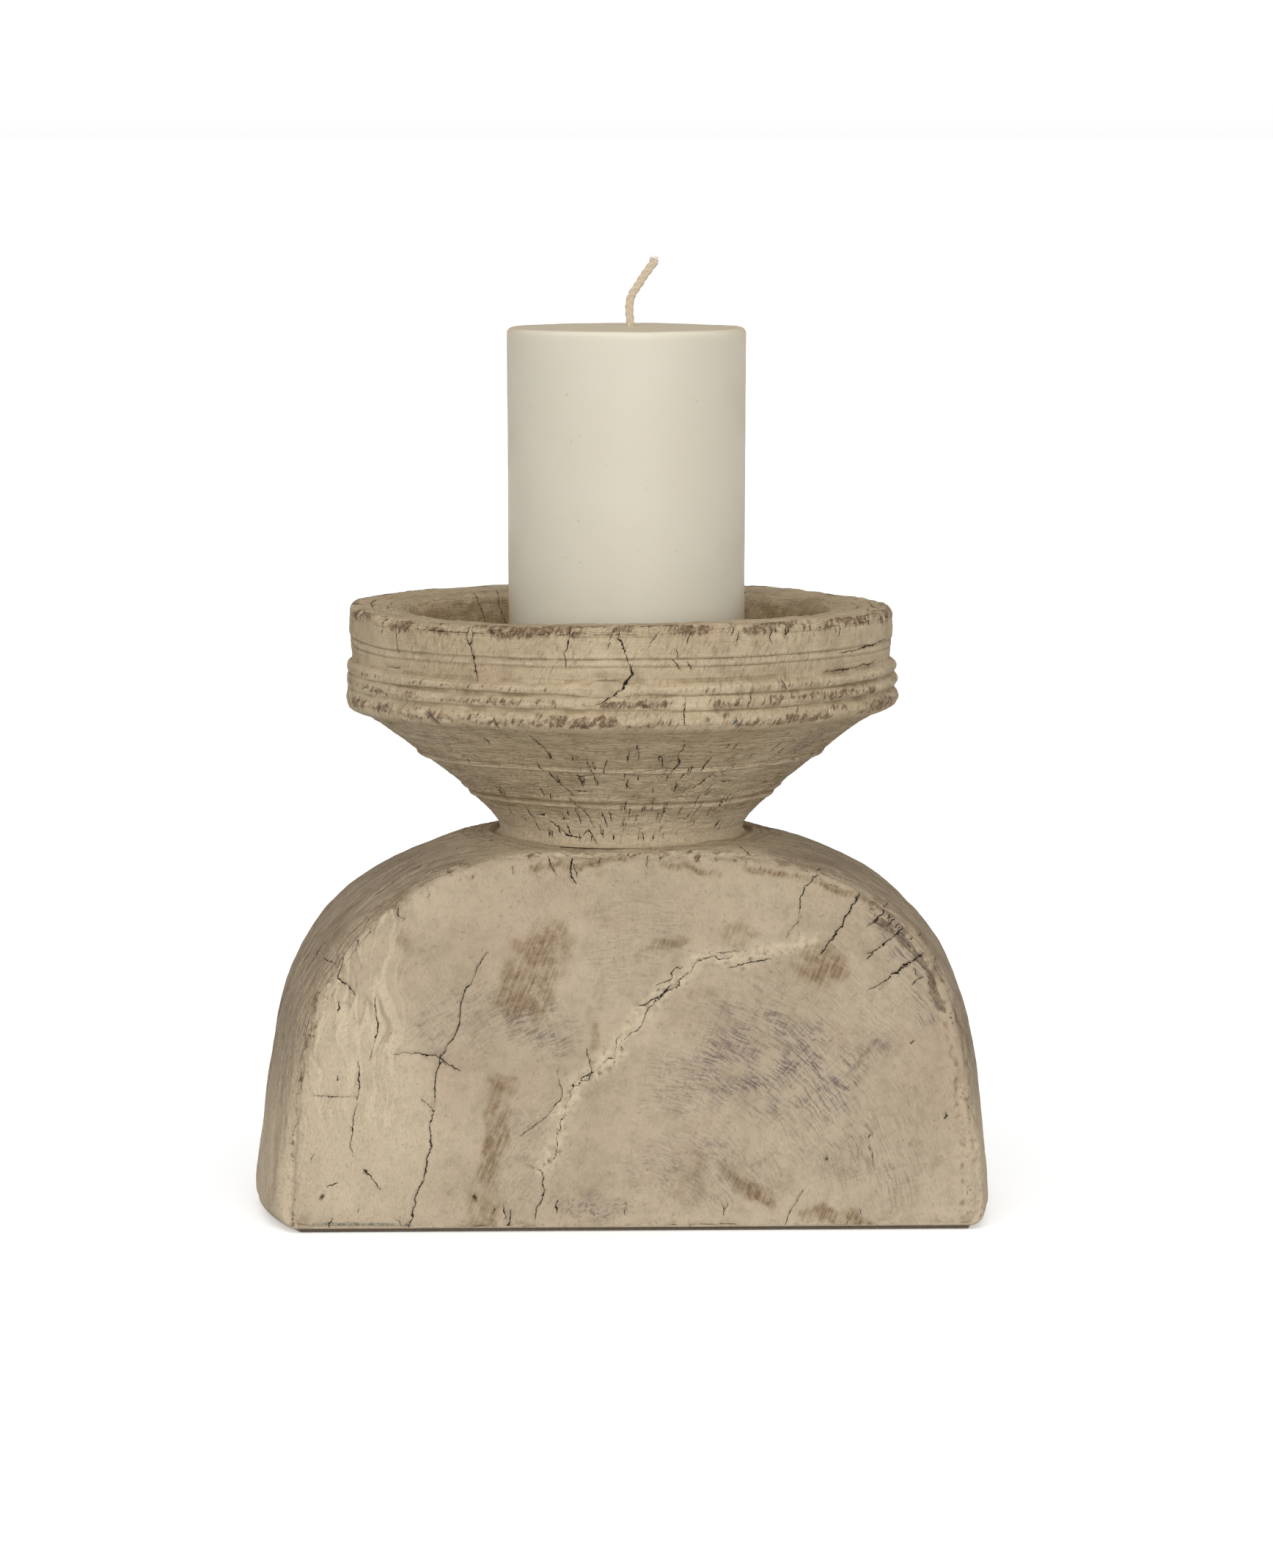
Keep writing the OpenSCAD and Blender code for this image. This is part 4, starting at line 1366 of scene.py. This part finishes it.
def ring_scratches(f):
    """Fine lines along a face's growth rings, with faint rays across them."""
    chart = f.add("UVMap", uv_map="Flow").outputs["UV"]
    centre = (*(GROWTH_CENTRE * MM), 0)
    away = f.add("VectorMath", {0: chart, 1: centre}, operation="SUBTRACT").outputs[0]
    radius = f.add("VectorMath", {0: away}, operation="LENGTH").outputs["Value"]
    parts = f.add("SeparateXYZ", {0: away}).outputs
    angle = f.maths("ARCTAN2", parts["X"], parts["Y"])
    drift = f.maths("MULTIPLY", f.noise(9, 3), 0.004)
    along = f.maths("ADD", radius, drift)
    rings = f.noise(1000, 4, 0.7, f.add("CombineXYZ", {
        "X": f.maths("MULTIPLY", angle, 12.0),
        "Y": f.maths("MULTIPLY", along, 1 / (0.75 * MM))}).outputs[0], 0.2)
    rays = f.noise(1000, 3, 0.6, f.add("CombineXYZ", {
        "X": f.maths("MULTIPLY", angle, 110.0),
        "Y": f.maths("MULTIPLY", radius, 1 / (14 * MM))}).outputs[0])
    return f.maths("ADD", f.maths("MULTIPLY", rings, 0.78), f.maths("MULTIPLY", rays, 0.22))


def crack_line(f):
    """The hairline of a crack, jagged and of uneven width, and its dark pits."""
    jag = f.ramp(f.noise(1.1, 4, 0.65), 0.25, 0.75, -1.6, 1.6)
    aside = f.maths("ABSOLUTE", f.maths("ADD", f.mask("offset"), jag))
    width = f.ramp(f.noise(7, 4, 0.7), 0.32, 0.58, 0.25, 1.15)
    line = f.ramp(f.maths("DIVIDE", aside, width), 1.10, 0.80)
    line = f.maths("MULTIPLY", line, f.ramp(f.mask("near"), 0.60, 0.85))
    return f.maths("MAXIMUM", line, f.mask("pit"))


class Limewash(Finish):
    """Chalky limewash over old brown wood. end_grain adds growth rings on the block's faces."""

    def __init__(self, name, tones, end_grain):
        super().__init__(name)
        self.end_grain, self.dull = end_grain, tones[2]
        self.chalk, self.fine, self.grit = chalk_tones(self, tones)
        self.side = self.mask("side")
        self.coarse, self.thin = long_fibres(self, end_grain)
        self.crack = crack_line(self)
        if end_grain:
            self.scratch = ring_scratches(self)
            self.torn = self.noise(1.6, 6, 0.75, bent=0.3)
        else:
            self.scratch = self.noise(0.55, 3, 0.7)
            self.torn = self.noise(1000, 4, 0.62, self.stretched(1.3, 5.0, 0.2, 0.5, -22), 0.1)

    def thin_layers(self):
        """Where limewash is thin on fibres and in hollows, and thick on crests. The hollow mask
        also carries painted shade in the bowl's turned grooves, and the crest mask carries painted
        light on the bowl's turned ridges and neck and on the block round its seat and low on its
        flanks.
        """
        wood = WOOD if self.end_grain else WARM_WOOD
        grime_and_shade = self.maths("ADD", self.mask("hollow"), self.product(self.fine, 0.5))
        thick = self.ramp(self.grit, 0.64, 0.44, 0.35, 0.95)
        return [(self.product(self.coarse, self.side, 0.42), wood),
                (self.product(self.thin, self.side, 0.46), wood),
                # Brown in hollows: real grain and dirt, and painted shade in the bowl's turned
                # grooves.
                (self.product(self.ramp(grime_and_shade, 0.35, 1.15), 0.58), wood),
                # Pale layer: thick limewash, and painted light where the crest mask stands in for
                # light.
                (self.product(self.mask("crest"), thick), PALE)]

    def face_layers(self):
        """Scratches along the growth rings and flakes of filler."""
        flakes = self.ramp(self.noise(2.2, 4, 0.6), 0.38, 0.55)
        return [(self.ramp(self.scratch, 0.50, 0.66, 0.0, 0.16), self.dull),
                (self.product(self.mask("filler"), flakes, 0.7), PALE)]

    def stain_layers(self):
        """Brown stains in streaks and grey haze in clouds."""
        streaks = self.noise(1000, 5, 0.65, self.stretched(14, 0.9, 0.6, 0.5, 68), 0.1)
        streaky = self.product(self.ramp(streaks, 0.36, 0.60, 0.40, 1.0),
                               self.ramp(self.fine, 0.36, 0.60, 0.40, 1.0),
                               self.ramp(self.scratch, 0.38, 0.62, 0.75, 1.0))
        cloudy = self.product(self.ramp(self.noise(8, 6, 0.7), 0.34, 0.60, 0.25, 1.0),
                              self.ramp(self.scratch, 0.46, 0.58, 0.12, 1.0))
        return [(self.product(self.mask("stain"), streaky, 0.98), BROWN_STAIN),
                (self.product(self.mask("haze"), cloudy, 0.95), GREY_HAZE)]

    def worn_layers(self):
        """Bare wood where limewash has come off, the marks of the bowl's tool, and old paint."""
        wear = self.maths("ADD", self.mask("wear"), self.ramp(self.torn, 0.32, 0.68, -0.6, 0.6))
        bare = self.mix(self.ramp(self.grit, 0.36, 0.60), *BARE_WOOD)
        worn = self.product(self.ramp(wear, 0.30, 0.95),
                            self.ramp(self.noise(1.1, 5, 0.75), 0.34, 0.56, 0.3, 0.95))
        layers = [(worn, bare)]
        if not self.end_grain:
            strokes = self.ramp(self.torn, 0.48, 0.34)
            layers.append((self.product(strokes, self.mask("chatter"), 0.42), WOOD))
        paint = self.product(self.mask("teal"), self.ramp(self.torn, 0.42, 0.58))
        return layers + [(paint, OLD_PAINT)]

    def colored(self):
        layers = self.thin_layers()
        if self.end_grain:
            dull = self.product(self.side, self.ramp(self.grit, 0.38, 0.58, 0.10, 0.75))
            layers = [(dull, self.dull)] + layers + self.face_layers()
        color = self.chalk
        for amount, tone in layers + self.stain_layers() + self.worn_layers():
            color = self.mix(amount, color, tone)
        return self.mix(self.crack, color, CRACK_DARK)

    def relief(self):
        fibres = self.product(self.maths("ADD", self.coarse, self.thin), self.side, -1.0)
        if self.end_grain:
            depth = self.ramp(self.mask("haze"), 0.0, 0.8, 0.35, 1.0)
            last, height = self.product(self.scratch, depth), 0.16
        else:
            last, height = self.product(self.torn, self.mask("chatter")), 0.60
        normal = self.bump(self.product(self.crack, -1.0), 0.5)
        for field, rise in ((self.grit, 0.48), (fibres, 0.20), (self.noise(3.2, 5, 0.6), 0.40),
                            (last, height)):
            normal = self.bump(field, rise, normal)
        return normal


def limewash(name, tones, end_grain):
    f = Limewash(name, tones, end_grain)
    return f.finish(color=f.colored(), rough=f.ramp(f.fine, 0.3, 0.7, 0.80, 0.94),
                    normal=f.relief(), specular=0.25)


def wax():
    """Ivory paraffin wax that light enters, with painted shade along its outline."""
    f = Finish("ivory_wax")
    color = f.mix(f.ramp(f.noise(60, 3), 0.35, 0.7), srgb(214, 207, 188), srgb(217, 211, 194))
    # Darker and warmer where the candle is seen edge-on: painted shade along its outline, which
    # changes with the view.
    rim = f.add("LayerWeight", {"Blend": 0.35}).outputs["Facing"]
    color = f.mix(f.ramp(rim, 0.25, 1.0, 0.0, 0.75), color, srgb(206, 186, 150))
    speck = f.ramp(f.noise(1.3, 1, 0.4), 0.775, 0.80)
    color = f.mix(f.maths("MULTIPLY", speck, 0.35), color, srgb(150, 130, 100))
    normal = f.bump(f.noise(9, 4, 0.5), 0.10)
    normal = f.bump(f.noise(0.8, 3, 0.5), 0.015, normal)
    s = f.shader
    f.put(s, "Subsurface Weight", 0.55)
    f.put(s, "Subsurface Radius", (1.0, 0.80, 0.52))
    f.put(s, "Subsurface Scale", 5 * MM)
    return f.finish(color=color, rough=f.ramp(f.noise(14, 4), 0.3, 0.7, 0.38, 0.50),
                    normal=normal, specular=0.42)


def cotton():
    """Cream cotton with fine threads and a little wax on it."""
    f = Finish("cotton_braid")
    thread = f.noise(0.28, 5, 0.7, bent=0.4)
    color = f.mix(f.ramp(thread, 0.35, 0.70), srgb(190, 171, 144), srgb(224, 210, 188))
    color = f.mix(f.ramp(f.noise(5, 3), 0.5, 0.75, 0, 0.5), color, srgb(205, 184, 148))
    f.put(f.shader, "Sheen Weight", 0.35)
    return f.finish(color=color, rough=f.ramp(thread, 0.3, 0.7, 0.65, 0.9),
                    normal=f.bump(thread, 0.08), specular=0.25)


def felt():
    """Brown wool felt."""
    f = Finish("brown_felt")
    wool = f.noise(0.7, 7, 0.75, bent=0.8)
    color = f.mix(f.ramp(wool, 0.35, 0.7), srgb(88, 77, 63), srgb(116, 102, 85))
    f.put(f.shader, "Sheen Weight", 0.5)
    return f.finish(color=color, rough=f.ramp(wool, 0.3, 0.7, 0.88, 1.0),
                    normal=f.bump(wool, 0.30), specular=0.2)


def iron(name, tone, gloss):
    """Blackened iron with scale, scratches and a little rust."""
    f = Finish(name)
    scale = f.noise(3.0, 7, 0.65)
    rust = f.ramp(f.noise(7, 5, 0.6), 0.56, 0.74)
    color = f.mix(f.ramp(scale, 0.35, 0.7), tone, [min(1, c * 1.9) for c in tone[:3]] + [1])
    color = f.mix(f.maths("MULTIPLY", rust, 0.55), color, srgb(104, 62, 38))
    metal = f.ramp(rust, 0.0, 1.0, 0.9, 0.25)
    rough = f.ramp(scale, 0.3, 0.7, gloss, gloss + 0.25)
    normal = f.bump(scale, 0.12, f.bump(f.noise(0.6, 3), 0.03))
    return f.finish(color=color, rough=rough, metal=metal, normal=normal)


def paint(piece, material):
    piece.data.materials.clear()
    piece.data.materials.append(material)


# ---------------------------------------------------------------- set

FRONT_POWER = 1.70          # W/m2 of the light from the front
LEFT_POWER = 0.63           # of the one from the left, higher up
TOP_POWER = 1.25            # of the one from above
ROOM_GLOW = 0.24            # brightness of the room above the horizon, 1 being white
HORIZON_GLOW = 1.02         # of the band at the horizon
BELOW_GLOW = 0.56           # what comes up from below, in place of the floor's own light
FLOOR_GLOW = 0.34           # how much the floor shines by itself


def aim(thing, target):
    way = Vector(target) - thing.location
    thing.rotation_euler = way.to_track_quat("-Z", "Y").to_euler()


def softbox(name, power, angle, place):
    """A light from far away that comes from a wide part of the room."""
    light = bpy.data.lights.new(name, "SUN")
    light.energy = power
    light.angle = math.radians(angle)
    lamp = bpy.data.objects.new(name, light)
    lamp.location = place
    bpy.context.scene.collection.objects.link(lamp)
    aim(lamp, (0, 0, 0.12))


def build_world():
    """A dim white room, as bright as the floor where the two meet."""
    world = bpy.data.worlds.new("studio")
    bpy.context.scene.world = world
    world.use_nodes = True
    tree = world.node_tree
    sky = tree.nodes["Background"]
    way = tree.nodes.new("ShaderNodeTexCoord").outputs["Generated"]
    parts = tree.nodes.new("ShaderNodeSeparateXYZ")
    tree.links.new(way, parts.inputs[0])
    ramp_node = tree.nodes.new("ShaderNodeValToRGB")
    glow = ramp_node.color_ramp
    stops = ((0.0, BELOW_GLOW), (0.490, BELOW_GLOW), (0.497, HORIZON_GLOW), (0.542, HORIZON_GLOW),
             (0.555, ROOM_GLOW))
    while len(glow.elements) < len(stops):
        glow.elements.new(0.5)
    for element, (place, value) in zip(glow.elements, stops):
        element.position = place
        element.color = (value, value, value, 1)
    height = tree.nodes.new("ShaderNodeMapRange")
    height.inputs["From Min"].default_value = -1
    tree.links.new(parts.outputs["Z"], height.inputs["Value"])
    tree.links.new(height.outputs["Result"], ramp_node.inputs["Fac"])
    tree.links.new(ramp_node.outputs["Color"], sky.inputs["Color"])


def build_set():
    """A pale floor that runs to the horizon, soft light from front and above, and the camera."""
    floor = bpy.data.meshes.new("floor")
    reach = 80.0
    floor.from_pydata([(x * reach, y * reach, 0) for x, y in ((-1, -1), (1, -1), (1, 1), (-1, 1))],
                      [], [(0, 1, 2, 3)])
    plate = bpy.data.objects.new("floor", floor)
    bpy.context.scene.collection.objects.link(plate)
    f = Finish("pale_floor")
    f.put(f.shader, "Emission Color", srgb(255, 255, 255))
    f.put(f.shader, "Emission Strength", FLOOR_GLOW)
    paint(plate, f.finish(color=srgb(250, 250, 250), rough=0.9, specular=0.2))
    plate.visible_diffuse = False

    softbox("front_softbox", FRONT_POWER, 45, (0.25, -1.75, 0.34))
    softbox("left_softbox", LEFT_POWER, 60, (-0.8, -1.3, 1.1))
    softbox("top_softbox", TOP_POWER, 70, (0.10, -0.5, 1.9))
    build_world()

    lens = bpy.data.cameras.new("camera")
    lens.sensor_fit = "VERTICAL"
    lens.sensor_height = 36
    lens.lens = 133.5
    lens.clip_start, lens.clip_end = 0.05, 60
    camera = bpy.data.objects.new("camera", lens)
    turn, far, high = math.radians(-1.6), 1.850, 0.352
    camera.location = (far * math.sin(turn), -far * math.cos(turn), high)
    beside = 0.005
    aim(camera, (beside * math.cos(turn), beside * math.sin(turn), 0.136))
    bpy.context.scene.collection.objects.link(camera)
    bpy.context.scene.camera = camera
    bpy.context.scene.view_settings.view_transform = "Standard"


# ---------------------------------------------------------------- the object

def dress(piece, node, body, material):
    """Puts a piece in the place of a CAD node."""
    paint(piece, material)
    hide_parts(node)
    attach(piece, body)
    return piece


def main():
    build_set()
    chalk = [srgb(206, 188, 161), srgb(194, 176, 149), srgb(164, 147, 123), srgb(198, 173, 150)]
    warm_chalk = [srgb(213, 194, 162), srgb(200, 180, 147), srgb(168, 149, 120),
                  srgb(198, 171, 143)]
    dress(build_block(), "base_block", "holder",
          limewash("limewashed_block", chalk, True))
    dress(build_bowl(), "bowl", "holder",
          limewash("limewashed_bowl", warm_chalk, False))
    dress(build_candle(), "candle_wax", "candle", wax())
    dress(build_wick(), "wick", "candle", cotton())
    pad = dress(build_felt(), "base_felt", "holder", felt())
    black = iron("blackened_iron", srgb(48, 45, 42), 0.38)
    paint(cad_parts["pricket_plate"], black)
    paint(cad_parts["pricket_spike"], black)
    paint(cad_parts["plate_screws"], iron("screw_steel", srgb(150, 146, 140), 0.28))


main()
